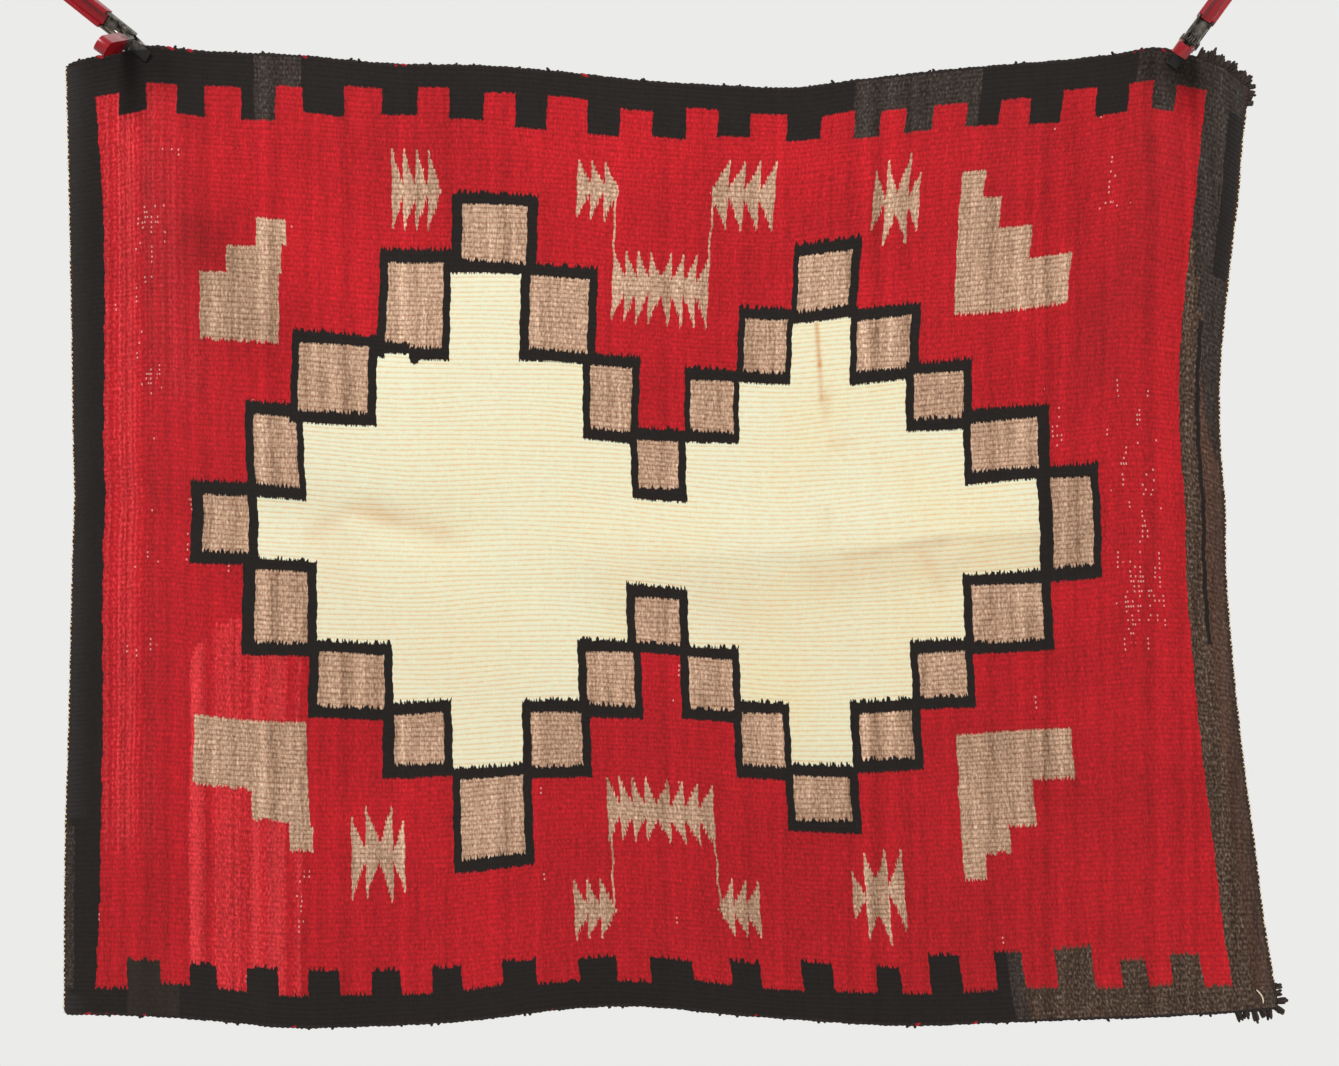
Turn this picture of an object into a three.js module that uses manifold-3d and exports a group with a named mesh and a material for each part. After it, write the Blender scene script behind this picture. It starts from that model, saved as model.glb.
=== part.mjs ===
// A hand-woven tapestry rug, hung by its top corners from two sprung steel clamps.
// Millimetres, +Z up. The warps run along X, and the face that is seen looks along -Y.
// The origin is above the middle of the bottom edge, level with the highest point of the top edge.
import * as THREE from 'three';
import { mergeVertices } from 'three/addons/utils/BufferGeometryUtils.js';
import Module from 'manifold-3d';

const wasm = await Module();
wasm.setup();

const { lerp, clamp, degToRad, smoothstep } = THREE.MathUtils;
const clearance = 0.3;

// The cloth: its thickness, and the rounded cord that is twined along every edge.
const clothHalf = 1.6;
const columnCount = 40;
const rowCount = 32;
const cordHalf = 2.0;
const edgeCord = [
  { inset: 0, half: 0.8 },
  { inset: 1.8, half: cordHalf },
  { inset: 4.2, half: cordHalf },
  { inset: 6.5, half: clothHalf },
];

// The four edges as they hang: the top sags between the grips and the sides are drawn in.
const topEdge = [
  { x: -602, z: -19 },
  { x: -580, z: -12 },
  { x: -556, z: -8 },
  { x: -522, z: 0 },
  { x: -470, z: -5 },
  { x: -370, z: -10 },
  { x: -270, z: -21 },
  { x: -190, z: -23 },
  { x: -110, z: -29 },
  { x: -30, z: -38 },
  { x: 90, z: -45 },
  { x: 130, z: -45 },
  { x: 190, z: -37 },
  { x: 315, z: -23 },
  { x: 450, z: -8 },
  { x: 486, z: -2 },
  { x: 528, z: -11 },
  { x: 550, z: -18 },
  { x: 578, z: -40 },
];
const bottomEdge = [
  { x: -604, z: -966 },
  { x: -520, z: -968 },
  { x: -440, z: -973 },
  { x: -370, z: -977 },
  { x: -230, z: -975 },
  { x: -110, z: -963 },
  { x: -30, z: -961 },
  { x: 90, z: -969 },
  { x: 230, z: -975 },
  { x: 455, z: -970 },
  { x: 525, z: -966 },
  { x: 604, z: -958 },
];
const leftEdge = [
  { z: -966, x: -604 },
  { z: -803, x: -603 },
  { z: -653, x: -599 },
  { z: -433, x: -595 },
  { z: -153, x: -599 },
  { z: -19, x: -602 },
];
const rightEdge = [
  { z: -958, x: 604 },
  { z: -903, x: 593 },
  { z: -818, x: 583 },
  { z: -673, x: 565 },
  { z: -533, x: 553 },
  { z: -403, x: 547 },
  { z: -323, x: 547 },
  { z: -203, x: 558 },
  { z: -83, x: 573 },
  { z: -40, x: 578 },
];

// Soft folds along straight lines: where each runs, how wide it is, and how far it stands forward.
const folds = [
  { name: 'old crease, right half', x1: -20, z1: -510, x2: 540, z2: -460, width: 42, rise: 9 },
  { name: 'old crease, left half', x1: -570, z1: -452, x2: -220, z2: -484, width: 34, rise: -7 },
  { name: 'pucker in the middle', x1: -80, z1: -498, x2: -30, z2: -553, width: 24, rise: 5 },
  { name: 'swag below the right grip', x1: 480, z1: -60, x2: 385, z2: -300, width: 48, rise: 12 },
  { name: 'trough beside that swag', x1: 400, z1: -70, x2: 300, z2: -330, width: 45, rise: -7 },
  { name: 'swag below the left grip', x1: -500, z1: -60, x2: -400, z2: -380, width: 55, rise: 11 },
  { name: 'trough down the left side', x1: -545, z1: -80, x2: -520, z2: -660, width: 34, rise: -7 },
  { name: 'slack top between the grips', x1: -230, z1: -50, x2: 270, z2: -60, width: 95, rise: 13 },
  { name: 'lower left ripple', x1: -360, z1: -690, x2: -370, z2: -980, width: 70, rise: 9 },
  { name: 'lower middle trough', x1: -30, z1: -760, x2: -40, z2: -970, width: 85, rise: -10 },
  { name: 'lower right ripple', x1: 220, z1: -700, x2: 240, z2: -980, width: 75, rise: 8 },
  { name: 'curl of the right edge', x1: 565, z1: -160, x2: 590, z2: -900, width: 48, rise: 10 },
  { name: 'lift of the lower right corner', x1: 590, z1: -940, x2: 610, z2: -960, width: 60, rise: 8 },
];
const gripFlatRadius = 34;
const gripFadeRadius = 150;

// The sprung clamps: pressed channel levers, a rivet, a coil spring and dipped vinyl grips.
const clampWidth = 17;
const leverSheet = 1.4;
const jawLength = 32;
const noseWidth = 11;
const noseLand = 13;
const handleLength = 82;
const channelDepth = 8;
const webFromPin = 9;
const noseLap = 14;
const biteGap = 0.5;
const pinRadius = 2.6;
const pinHeadRadius = 4.4;
const pinHeadHeight = 1.4;
const roundSides = 16;
const springWire = 1.8;
const springTurns = 3;
const springLeg = 16;
const springSteps = 70;
const gripStart = 30;
const gripWall = 1.0;
const gripPlug = 4;
const levers = {
  back: { side: 1, opens: 0, shoulder: -4, width: clampWidth },
  front: { side: -1, opens: 1, shoulder: 8, width: clampWidth - 2 * (leverSheet + clearance) },
};
// The ear round the rivet: how far along the handle and how far towards the web each corner lies.
const earOutline = [
  { run: 16, off: webFromPin - channelDepth },
  { run: 8, off: -5 },
  { run: 0, off: -5.6 },
  { run: -5, off: -3 },
  { run: -5.6, off: 2 },
];
// Each clamp leans in the hanging plane, turns about its own length, and its front handle stands open.
const clamps = [
  { name: 'left_clamp', x: -544, y: 0.05, z: 9.5, roll: -51.5, twist: -17, open: 101 },
  { name: 'right_clamp', x: 520, y: -0.2, z: 5, roll: 36, twist: -5.5, open: 116 },
];

// Frayed corners: a narrow edge strip with the ends of broken wefts standing out of it.
// Each tuft leans, splays and differs in length by its own wave along the strip.
const frayStripHalf = 1.2;
const frayUneven = {
  splay: { share: 0.45, step: 2.4 },
  lean: { share: 0.35, step: 1.7 },
  length: { share: 0.25, step: 3.1 },
};
const frays = [
  { name: 'top_right_fray', level: 1, from: 0.957, turn: 0.985, tufts: 15, length: 10, root: 3.4 },
  { name: 'bottom_right_fray', level: 0, from: 0.965, turn: 0.025, tufts: 9, length: 9, root: 3.0 },
];

const clothColour = { color: 0xa3262b, roughness: 0.95, metalness: 0 };
const frayColour = { color: 0x2e2925, roughness: 0.95, metalness: 0 };
const steelColour = { color: 0x8d8a84, roughness: 0.35, metalness: 1 };
const vinylColour = { color: 0xb0162a, roughness: 0.4, metalness: 0 };

const part = new THREE.Group();

function addMesh(parent, name, geometry, finish) {
  const mesh = new THREE.Mesh(geometry, new THREE.MeshStandardMaterial(finish));
  mesh.name = name;
  parent.add(mesh);
}

function solidFrom(geometry) {
  const bare = geometry.clone();
  bare.deleteAttribute('normal');
  bare.deleteAttribute('uv');
  const merged = mergeVertices(bare, 1e-4);
  const mesh = new wasm.Mesh({
    numProp: 3,
    vertProperties: new Float32Array(merged.attributes.position.array),
    triVerts: new Uint32Array(merged.index.array),
  });
  return new wasm.Manifold(mesh);
}

function geometryFrom(solid) {
  const mesh = solid.getMesh();
  const geometry = new THREE.BufferGeometry();
  geometry.setAttribute('position', new THREE.BufferAttribute(mesh.vertProperties, 3));
  geometry.setIndex(new THREE.BufferAttribute(mesh.triVerts, 1));
  geometry.computeVertexNormals();
  return geometry;
}

function joined(geometries) {
  const solids = geometries.map(solidFrom);
  return solids.reduce((sum, next) => sum.add(next));
}

// A smooth curve through a table's rows: the value of one column at a place along another.
function through(rows, along, value, place) {
  const last = rows.length - 1;
  let i = 0;
  while (i < last - 1 && place > rows[i + 1][along]) i += 1;
  const slope = (k) => {
    const before = rows[Math.max(k - 1, 0)];
    const after = rows[Math.min(k + 1, last)];
    return (after[value] - before[value]) / (after[along] - before[along]);
  };
  const a = rows[i];
  const b = rows[i + 1];
  const span = b[along] - a[along];
  const t = (place - a[along]) / span;
  const bend = 3 * t * t - 2 * t * t * t;
  const startPull = slope(i) * span * t * (1 - t) * (1 - t);
  const endPull = slope(i + 1) * span * t * t * (1 - t);
  return a[value] + (b[value] - a[value]) * bend + startPull - endPull;
}

function alongEdge(rows, along, value, t) {
  const place = lerp(rows[0][along], rows.at(-1)[along], t);
  return { [along]: place, [value]: through(rows, along, value, place) };
}

// How far the cloth stands behind the hanging plane. It is flat where a clamp bites.
function depthAt(x, z) {
  let depth = 0;
  for (const fold of folds) {
    const dx = fold.x2 - fold.x1;
    const dz = fold.z2 - fold.z1;
    const t = ((x - fold.x1) * dx + (z - fold.z1) * dz) / (dx * dx + dz * dz);
    const near = clamp(t, 0, 1);
    const off = Math.hypot(x - fold.x1 - near * dx, z - fold.z1 - near * dz);
    depth -= fold.rise * Math.exp(-((off / fold.width) ** 2));
  }
  for (const grip of clamps) {
    const bite = jawTip(grip);
    const off = Math.hypot(x - bite.x, z - bite.z);
    depth *= smoothstep(off, gripFlatRadius, gripFadeRadius);
  }
  return depth;
}

function jawTip(grip) {
  const roll = degToRad(grip.roll);
  return { x: grip.x - jawLength * Math.sin(roll), z: grip.z - jawLength * Math.cos(roll) };
}

// A point of the cloth's middle surface: u runs left to right, v from the bottom to the top.
function clothPoint(u, v) {
  const top = alongEdge(topEdge, 'x', 'z', u);
  const bottom = alongEdge(bottomEdge, 'x', 'z', u);
  const left = alongEdge(leftEdge, 'z', 'x', v);
  const right = alongEdge(rightEdge, 'z', 'x', v);
  const blend = (k) => {
    const upright = lerp(bottom[k], top[k], v);
    const level = lerp(left[k], right[k], u);
    const low = lerp(bottomEdge[0][k], bottomEdge.at(-1)[k], u);
    const high = lerp(topEdge[0][k], topEdge.at(-1)[k], u);
    return upright + level - lerp(low, high, v);
  };
  const x = blend('x');
  const z = blend('z');
  return new THREE.Vector3(x, depthAt(x, z), z);
}

// Grid lines across the cloth as fractions: close together at the edge cords, even between them.
function gridLines(size, count) {
  const start = edgeCord.map((row) => row.inset / size);
  const inner = start.at(-1);
  const lines = [...start];
  for (let i = 1; i < count; i += 1) lines.push(lerp(inner, 1 - inner, i / count));
  return [...lines, ...start.map((f) => 1 - f).reverse()];
}

const clothWide = bottomEdge.at(-1).x - bottomEdge[0].x;
const clothTall = leftEdge.at(-1).z - leftEdge[0].z;
const columns = gridLines(clothWide, columnCount);
const rows = gridLines(clothTall, rowCount);

function halfThickness(column, row) {
  const fromEdge = Math.min(column, columns.length - 1 - column, row, rows.length - 1 - row);
  return fromEdge < edgeCord.length ? edgeCord[fromEdge].half : clothHalf;
}

// One closed sheet: a front and a back face over the same grid, joined round the rim.
function clothGeometry() {
  const positions = [];
  for (const side of [-1, 1]) {
    rows.forEach((v, row) => {
      columns.forEach((u, column) => {
        const point = clothPoint(u, v);
        positions.push(point.x, point.y + side * halfThickness(column, row), point.z);
      });
    });
  }
  const wide = columns.length;
  const tall = rows.length;
  const front = (column, row) => row * wide + column;
  const back = (column, row) => front(column, row) + wide * tall;
  const index = [];
  const quad = (a, b, c, d) => index.push(a, b, c, a, c, d);
  for (let r = 0; r < tall - 1; r += 1) {
    for (let c = 0; c < wide - 1; c += 1) {
      quad(front(c, r), front(c + 1, r), front(c + 1, r + 1), front(c, r + 1));
      quad(back(c, r), back(c, r + 1), back(c + 1, r + 1), back(c + 1, r));
    }
  }
  for (let c = 0; c < wide - 1; c += 1) {
    quad(front(c, 0), back(c, 0), back(c + 1, 0), front(c + 1, 0));
    quad(front(c, tall - 1), front(c + 1, tall - 1), back(c + 1, tall - 1), back(c, tall - 1));
  }
  for (let r = 0; r < tall - 1; r += 1) {
    quad(front(0, r), front(0, r + 1), back(0, r + 1), back(0, r));
    quad(front(wide - 1, r), back(wide - 1, r), back(wide - 1, r + 1), front(wide - 1, r + 1));
  }
  const geometry = new THREE.BufferGeometry();
  geometry.setAttribute('position', new THREE.Float32BufferAttribute(positions, 3));
  geometry.setIndex(index);
  geometry.computeVertexNormals();
  return geometry;
}

// The rim's own corners along one level edge to the right corner, then round it up or down the side.
function frayRoute(fray) {
  const level = columns.filter((u) => u >= fray.from).map((u) => clothPoint(u, fray.level));
  const side = rows.filter((v) => (v - fray.turn) * (fray.level - 0.5) > 0 && v !== fray.level);
  if (fray.level === 1) side.reverse();
  return [...level, ...side.map((v) => clothPoint(1, v))];
}

function rodBetween(start, end, radius, overrun) {
  const span = new THREE.Vector3().subVectors(end, start);
  const rod = new THREE.CylinderGeometry(radius, radius, span.length() + 2 * overrun, 4);
  const turn = new THREE.Quaternion().setFromUnitVectors(new THREE.Vector3(0, 1, 0), span.normalize());
  rod.applyQuaternion(turn);
  const middle = new THREE.Vector3().addVectors(start, end).multiplyScalar(0.5);
  return rod.translate(middle.x, middle.y, middle.z);
}

function uneven(kind, k) {
  const wave = frayUneven[kind];
  return wave.share * Math.sin(k * wave.step + 1);
}

// The strip runs just outside the rim, and each tuft is a four-sided spike rooted in it.
function frayGeometry(fray) {
  const rim = frayRoute(fray);
  const turnSign = fray.level === 1 ? 1 : -1;
  const outward = rim.map((point, i) => {
    const before = rim[Math.max(i - 1, 0)];
    const after = rim[Math.min(i + 1, rim.length - 1)];
    const run = new THREE.Vector3().subVectors(after, before).setY(0).normalize();
    return new THREE.Vector3(-run.z * turnSign, 0, run.x * turnSign);
  });
  const standOff = clearance + 1.5 * frayStripHalf;
  const strip = rim.map((point, i) => point.clone().addScaledVector(outward[i], standOff));
  const pieces = [];
  for (let i = 0; i < strip.length - 1; i += 1) {
    pieces.push(rodBetween(strip[i], strip[i + 1], frayStripHalf, frayStripHalf / 2));
  }
  const lengths = strip.slice(1).map((point, i) => point.distanceTo(strip[i]));
  const total = lengths.reduce((sum, next) => sum + next, 0);
  for (let k = 0; k < fray.tufts; k += 1) {
    let rest = (total * (k + 0.5)) / fray.tufts;
    let i = 0;
    while (rest > lengths[i]) {
      rest -= lengths[i];
      i += 1;
    }
    const t = rest / lengths[i];
    const root = new THREE.Vector3().lerpVectors(strip[i], strip[i + 1], t);
    const way = new THREE.Vector3().lerpVectors(outward[i], outward[i + 1], t);
    way.x += uneven('splay', k);
    way.y = uneven('lean', k);
    way.normalize();
    const length = fray.length * (1 + uneven('length', k));
    const tuft = new THREE.ConeGeometry(fray.root, length, 4);
    tuft.translate(0, length / 2, 0);
    tuft.applyQuaternion(new THREE.Quaternion().setFromUnitVectors(new THREE.Vector3(0, 1, 0), way));
    pieces.push(tuft.translate(root.x, root.y, root.z));
  }
  return geometryFrom(joined(pieces));
}

addMesh(part, 'rug', clothGeometry(), clothColour);
for (const fray of frays) addMesh(part, fray.name, frayGeometry(fray), frayColour);

// A flat plate whose outline lies in the clamp's side view, Y across and Z up, spread along X.
function plate(outline, width, middle) {
  const shape = new THREE.Shape(outline.map((p) => new THREE.Vector2(p.y, p.z)));
  const geometry = new THREE.ExtrudeGeometry(shape, { depth: width, bevelEnabled: false });
  geometry.translate(0, 0, middle - width / 2);
  const toSideView = new THREE.Matrix4().makeBasis(
    new THREE.Vector3(0, 1, 0),
    new THREE.Vector3(0, 0, 1),
    new THREE.Vector3(1, 0, 0),
  );
  return geometry.applyMatrix4(toSideView);
}

// The outline of sheet metal that is bent along a line of points in the side view.
function bentSheet(points, thickness) {
  const sides = points.map((p, i) => {
    const before = points[Math.max(i - 1, 0)];
    const after = points[Math.min(i + 1, points.length - 1)];
    const run = new THREE.Vector2(after.y - before.y, after.z - before.z).normalize();
    return { y: (-run.y * thickness) / 2, z: (run.x * thickness) / 2 };
  });
  const one = points.map((p, i) => ({ y: p.y + sides[i].y, z: p.z + sides[i].z }));
  const other = points.map((p, i) => ({ y: p.y - sides[i].y, z: p.z - sides[i].z }));
  return [...one, ...other.reverse()];
}

// All within a handle's round-ended outline, seen square to its web and grown by a margin.
function roundedEnd(shape, margin) {
  const half = shape.width / 2 + margin;
  const outline = new THREE.Shape();
  outline.moveTo(-half, -handleLength);
  outline.lineTo(half, -handleLength);
  outline.absarc(0, handleLength - shape.width / 2, half, 0, Math.PI);
  const depth = 4 * handleLength;
  const geometry = new THREE.ExtrudeGeometry(outline, { depth, curveSegments: 9, bevelEnabled: false });
  geometry.translate(0, 0, -depth / 2);
  const across = new THREE.Vector3(1, 0, 0);
  const along = new THREE.Vector3(0, shape.along.y, shape.along.z);
  const through = new THREE.Vector3().crossVectors(across, along);
  return solidFrom(geometry.applyMatrix4(new THREE.Matrix4().makeBasis(across, along, through)));
}

// A lever: bent web and nose, two side flanges with ears round the rivet, and the rivet's hole.
function leverGeometry(lever) {
  const { web, nose, flange, width } = lever;
  const flangeMiddle = (width - leverSheet) / 2;
  const solid = joined([
    plate(bentSheet(web, leverSheet), width, 0),
    plate(bentSheet(nose, leverSheet), noseWidth, 0),
    plate(flange, leverSheet, flangeMiddle),
    plate(flange, leverSheet, -flangeMiddle),
  ]);
  const holeRadius = pinRadius + clearance;
  const hole = new THREE.CylinderGeometry(holeRadius, holeRadius, clampWidth * 2, roundSides);
  hole.rotateZ(Math.PI / 2);
  return geometryFrom(solid.intersect(roundedEnd(lever, 0)).subtract(solidFrom(hole)));
}

// A lever's side view. Its handle leans by an angle, and the web passes the rivet on the outer side.
function leverShape({ side, opens, shoulder, width }, open, biteHalf) {
  const lean = degToRad(opens * open);
  const along = { y: side * Math.sin(lean), z: Math.cos(lean) };
  const out = { y: side * Math.cos(lean), z: -Math.sin(lean) };
  const at = (run, off) => ({ y: along.y * run + out.y * off, z: along.z * run + out.z * off });
  const noseY = side * (biteHalf + leverSheet / 2);
  const bend = at(shoulder, webFromPin);
  const end = at(handleLength, webFromPin);
  const noseTip = { y: noseY, z: -jawLength };
  const noseTop = { y: noseY, z: -jawLength + noseLand };
  const ear = earOutline.map(({ run, off }) => at(run, off));
  return {
    along,
    out,
    width,
    web: [bend, end],
    nose: [noseTip, noseTop, bend, at(noseLap, webFromPin)],
    flange: [bend, end, at(handleLength, webFromPin - channelDepth), ...ear],
  };
}

// A dipped vinyl grip: a channel sleeve round the lever's end, plugged at its tip.
function gripGeometry(shape) {
  const half = shape.width / 2;
  const channel = (grow) => {
    const wide = half + grow;
    const slot = half - leverSheet - grow;
    const deep = channelDepth + leverSheet / 2 + grow;
    const floor = leverSheet + grow;
    return [
      new THREE.Vector2(-wide, -grow),
      new THREE.Vector2(wide, -grow),
      new THREE.Vector2(wide, deep),
      new THREE.Vector2(slot, deep),
      new THREE.Vector2(slot, floor),
      new THREE.Vector2(-slot, floor),
      new THREE.Vector2(-slot, deep),
      new THREE.Vector2(-wide, deep),
    ];
  };
  const inward = new THREE.Vector3(0, -shape.out.y, -shape.out.z);
  const along = new THREE.Vector3(0, shape.along.y, shape.along.z);
  const across = new THREE.Vector3().crossVectors(inward, along);
  const off = webFromPin + leverSheet / 2;
  const place = new THREE.Matrix4().makeBasis(across, inward, along).setPosition(
    0,
    shape.along.y * gripStart + shape.out.y * off,
    shape.along.z * gripStart + shape.out.z * off,
  );
  const drawn = (corners, from, to) => {
    const options = { depth: to - from, bevelEnabled: false };
    const geometry = new THREE.ExtrudeGeometry(new THREE.Shape(corners), options);
    return geometry.translate(0, 0, from).applyMatrix4(place);
  };
  const skin = channel(clearance + gripWall);
  const mouth = skin.filter((corner) => Math.abs(corner.x) > half);
  const length = handleLength + clearance + gripWall - gripStart;
  const outside = joined([drawn(skin, 0, length), drawn(mouth, length - gripPlug, length)]);
  const inside = solidFrom(drawn(channel(clearance), -gripPlug, length));
  const dipped = outside.intersect(roundedEnd(shape, clearance + gripWall));
  return geometryFrom(dipped.subtract(inside.intersect(roundedEnd(shape, clearance))));
}

// The rivet: a round bar with a low head at each end.
function pinGeometry() {
  const reach = clampWidth / 2 + clearance;
  const profile = [
    new THREE.Vector2(0, -reach - pinHeadHeight),
    new THREE.Vector2(pinHeadRadius * 0.7, -reach - pinHeadHeight),
    new THREE.Vector2(pinHeadRadius, -reach - pinHeadHeight / 2),
    new THREE.Vector2(pinHeadRadius, -reach),
    new THREE.Vector2(pinRadius, -reach),
    new THREE.Vector2(pinRadius, reach),
    new THREE.Vector2(pinHeadRadius, reach),
    new THREE.Vector2(pinHeadRadius, reach + pinHeadHeight / 2),
    new THREE.Vector2(pinHeadRadius * 0.7, reach + pinHeadHeight),
    new THREE.Vector2(0, reach + pinHeadHeight),
  ];
  return new THREE.LatheGeometry(profile, roundSides).rotateZ(Math.PI / 2);
}

// The spring: a leg down the back web, close turns round the rivet, and a leg out along the front web.
class SpringCurve extends THREE.Curve {
  constructor(radius, frontAngle) {
    super();
    this.radius = radius;
    this.sweep = 2 * Math.PI * springTurns + Math.PI - degToRad(frontAngle);
    this.coilLength = radius * this.sweep;
    this.total = this.coilLength + 2 * springLeg;
  }

  getPoint(t, target = new THREE.Vector3()) {
    const s = t * this.total;
    const turned = clamp((s - springLeg) / this.radius, 0, this.sweep);
    const before = Math.max(springLeg - s, 0);
    const after = Math.max(s - springLeg - this.coilLength, 0);
    const rise = ((springWire + clearance) * (turned - this.sweep / 2)) / (2 * Math.PI);
    const run = before - after;
    const y = this.radius * Math.cos(turned) + run * Math.sin(turned);
    const z = -this.radius * Math.sin(turned) + run * Math.cos(turned);
    return target.set(rise, y, z);
  }
}

function springGeometry(open) {
  const radius = webFromPin - leverSheet / 2 - springWire / 2 - clearance;
  const curve = new SpringCurve(radius, open);
  const section = new THREE.Shape();
  section.absarc(0, 0, springWire / 2, 0, 2 * Math.PI);
  return new THREE.ExtrudeGeometry(section, {
    steps: springSteps,
    curveSegments: 3,
    bevelEnabled: false,
    extrudePath: curve,
  });
}

for (const grip of clamps) {
  const roll = new THREE.Group();
  roll.position.set(grip.x, grip.y, grip.z);
  roll.rotation.y = degToRad(grip.roll);
  const twist = new THREE.Group();
  twist.rotation.z = degToRad(grip.twist);
  roll.add(twist);
  part.add(roll);
  const askew = (noseWidth / 2) * Math.abs(Math.sin(degToRad(grip.twist)));
  const biteHalf = cordHalf + askew + biteGap;
  for (const [name, lever] of Object.entries(levers)) {
    const shape = leverShape(lever, grip.open, biteHalf);
    addMesh(twist, `${grip.name}_${name}_lever`, leverGeometry(shape), steelColour);
    addMesh(twist, `${grip.name}_${name}_grip`, gripGeometry(shape), vinylColour);
  }
  addMesh(twist, `${grip.name}_pin`, pinGeometry(), steelColour);
  addMesh(twist, `${grip.name}_spring`, springGeometry(grip.open), steelColour);
}

export default part;
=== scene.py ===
import math

import bpy
import numpy as np
from mathutils import Matrix, Vector


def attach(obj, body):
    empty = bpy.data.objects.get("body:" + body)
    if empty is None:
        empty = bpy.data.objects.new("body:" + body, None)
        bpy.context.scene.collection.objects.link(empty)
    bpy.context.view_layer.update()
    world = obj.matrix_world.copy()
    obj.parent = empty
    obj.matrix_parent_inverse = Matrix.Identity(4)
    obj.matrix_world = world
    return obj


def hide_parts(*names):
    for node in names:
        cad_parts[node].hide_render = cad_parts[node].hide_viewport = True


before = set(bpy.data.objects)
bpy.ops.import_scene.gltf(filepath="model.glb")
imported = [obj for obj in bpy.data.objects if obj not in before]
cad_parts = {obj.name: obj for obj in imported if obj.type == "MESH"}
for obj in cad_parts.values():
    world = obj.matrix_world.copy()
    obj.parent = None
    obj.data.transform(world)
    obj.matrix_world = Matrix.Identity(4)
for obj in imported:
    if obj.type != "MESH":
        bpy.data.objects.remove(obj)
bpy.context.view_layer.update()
mm = 0.001


# Small tools
def linear(hexCode, alpha=1.0):
    parts = [int(hexCode[i:i + 2], 16) / 255 for i in (1, 3, 5)]
    bent = [c / 12.92 if c <= 0.04045 else ((c + 0.055) / 1.055) ** 2.4 for c in parts]
    return (*bent, alpha)


def addNode(tree, kind, inputs=(), **settings):
    node = tree.nodes.new("ShaderNode" + kind)
    for name, value in settings.items():
        setattr(node, name, value)
    for socket, value in dict(inputs).items():
        if isinstance(value, bpy.types.Node):
            value = value.outputs[0]
        if isinstance(value, bpy.types.NodeSocket):
            tree.links.new(value, node.inputs[socket])
        else:
            node.inputs[socket].default_value = value
    return node


# Constants go on the shader's own sockets.
def startMaterial(name, constants):
    material = bpy.data.materials.new(name)
    material.use_nodes = True
    tree = material.node_tree
    surface = tree.nodes["Principled BSDF"]
    for socket, value in constants.items():
        surface.inputs[socket].default_value = value
    return material, tree, surface


def addPiece(name, places, faces, material):
    mesh = bpy.data.meshes.new(name)
    mesh.from_pydata([tuple(p) for p in places], [], faces)
    mesh.materials.append(material)
    mesh.polygons.foreach_set("use_smooth", np.ones(len(mesh.polygons), bool))
    piece = bpy.data.objects.new(name, mesh)
    bpy.context.scene.collection.objects.link(piece)
    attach(piece, "root")
    return piece


def setColour(mesh, name, domain, colours):
    attribute = mesh.attributes.new(name, "FLOAT_COLOR", domain)
    attribute.data.foreach_set("color", np.asarray(colours, np.float32).ravel())


# The hung shape, in millimetres: X to the right, Z up, and the face that is seen looks along -Y.
rug = {"wide": 1200, "tall": 955, "ribs": 197, "crest": 1.9, "valley": 1.1, "rim": 0.9}
topEdge = [
    {"x": -602, "z": -19}, {"x": -580, "z": -12}, {"x": -556, "z": -8}, {"x": -522, "z": 0},
    {"x": -470, "z": -5}, {"x": -370, "z": -10}, {"x": -270, "z": -21}, {"x": -190, "z": -23},
    {"x": -110, "z": -29}, {"x": -30, "z": -38}, {"x": 90, "z": -45}, {"x": 130, "z": -45},
    {"x": 190, "z": -37}, {"x": 315, "z": -23}, {"x": 450, "z": -8}, {"x": 486, "z": -2},
    {"x": 528, "z": -11}, {"x": 550, "z": -18}, {"x": 578, "z": -40},
]
bottomEdge = [
    {"x": -604, "z": -966}, {"x": -520, "z": -968}, {"x": -440, "z": -973}, {"x": -370, "z": -977},
    {"x": -230, "z": -975}, {"x": -110, "z": -963}, {"x": -30, "z": -961}, {"x": 90, "z": -969},
    {"x": 230, "z": -975}, {"x": 455, "z": -970}, {"x": 525, "z": -966}, {"x": 604, "z": -958},
]
leftEdge = [
    {"z": -966, "x": -604}, {"z": -803, "x": -603}, {"z": -653, "x": -599}, {"z": -433, "x": -595},
    {"z": -153, "x": -599}, {"z": -19, "x": -602},
]
rightEdge = [
    {"z": -958, "x": 604}, {"z": -903, "x": 593}, {"z": -818, "x": 583}, {"z": -673, "x": 565},
    {"z": -533, "x": 553}, {"z": -403, "x": 547}, {"z": -323, "x": 547}, {"z": -203, "x": 558},
    {"z": -83, "x": 573}, {"z": -40, "x": 578},
]
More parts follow.
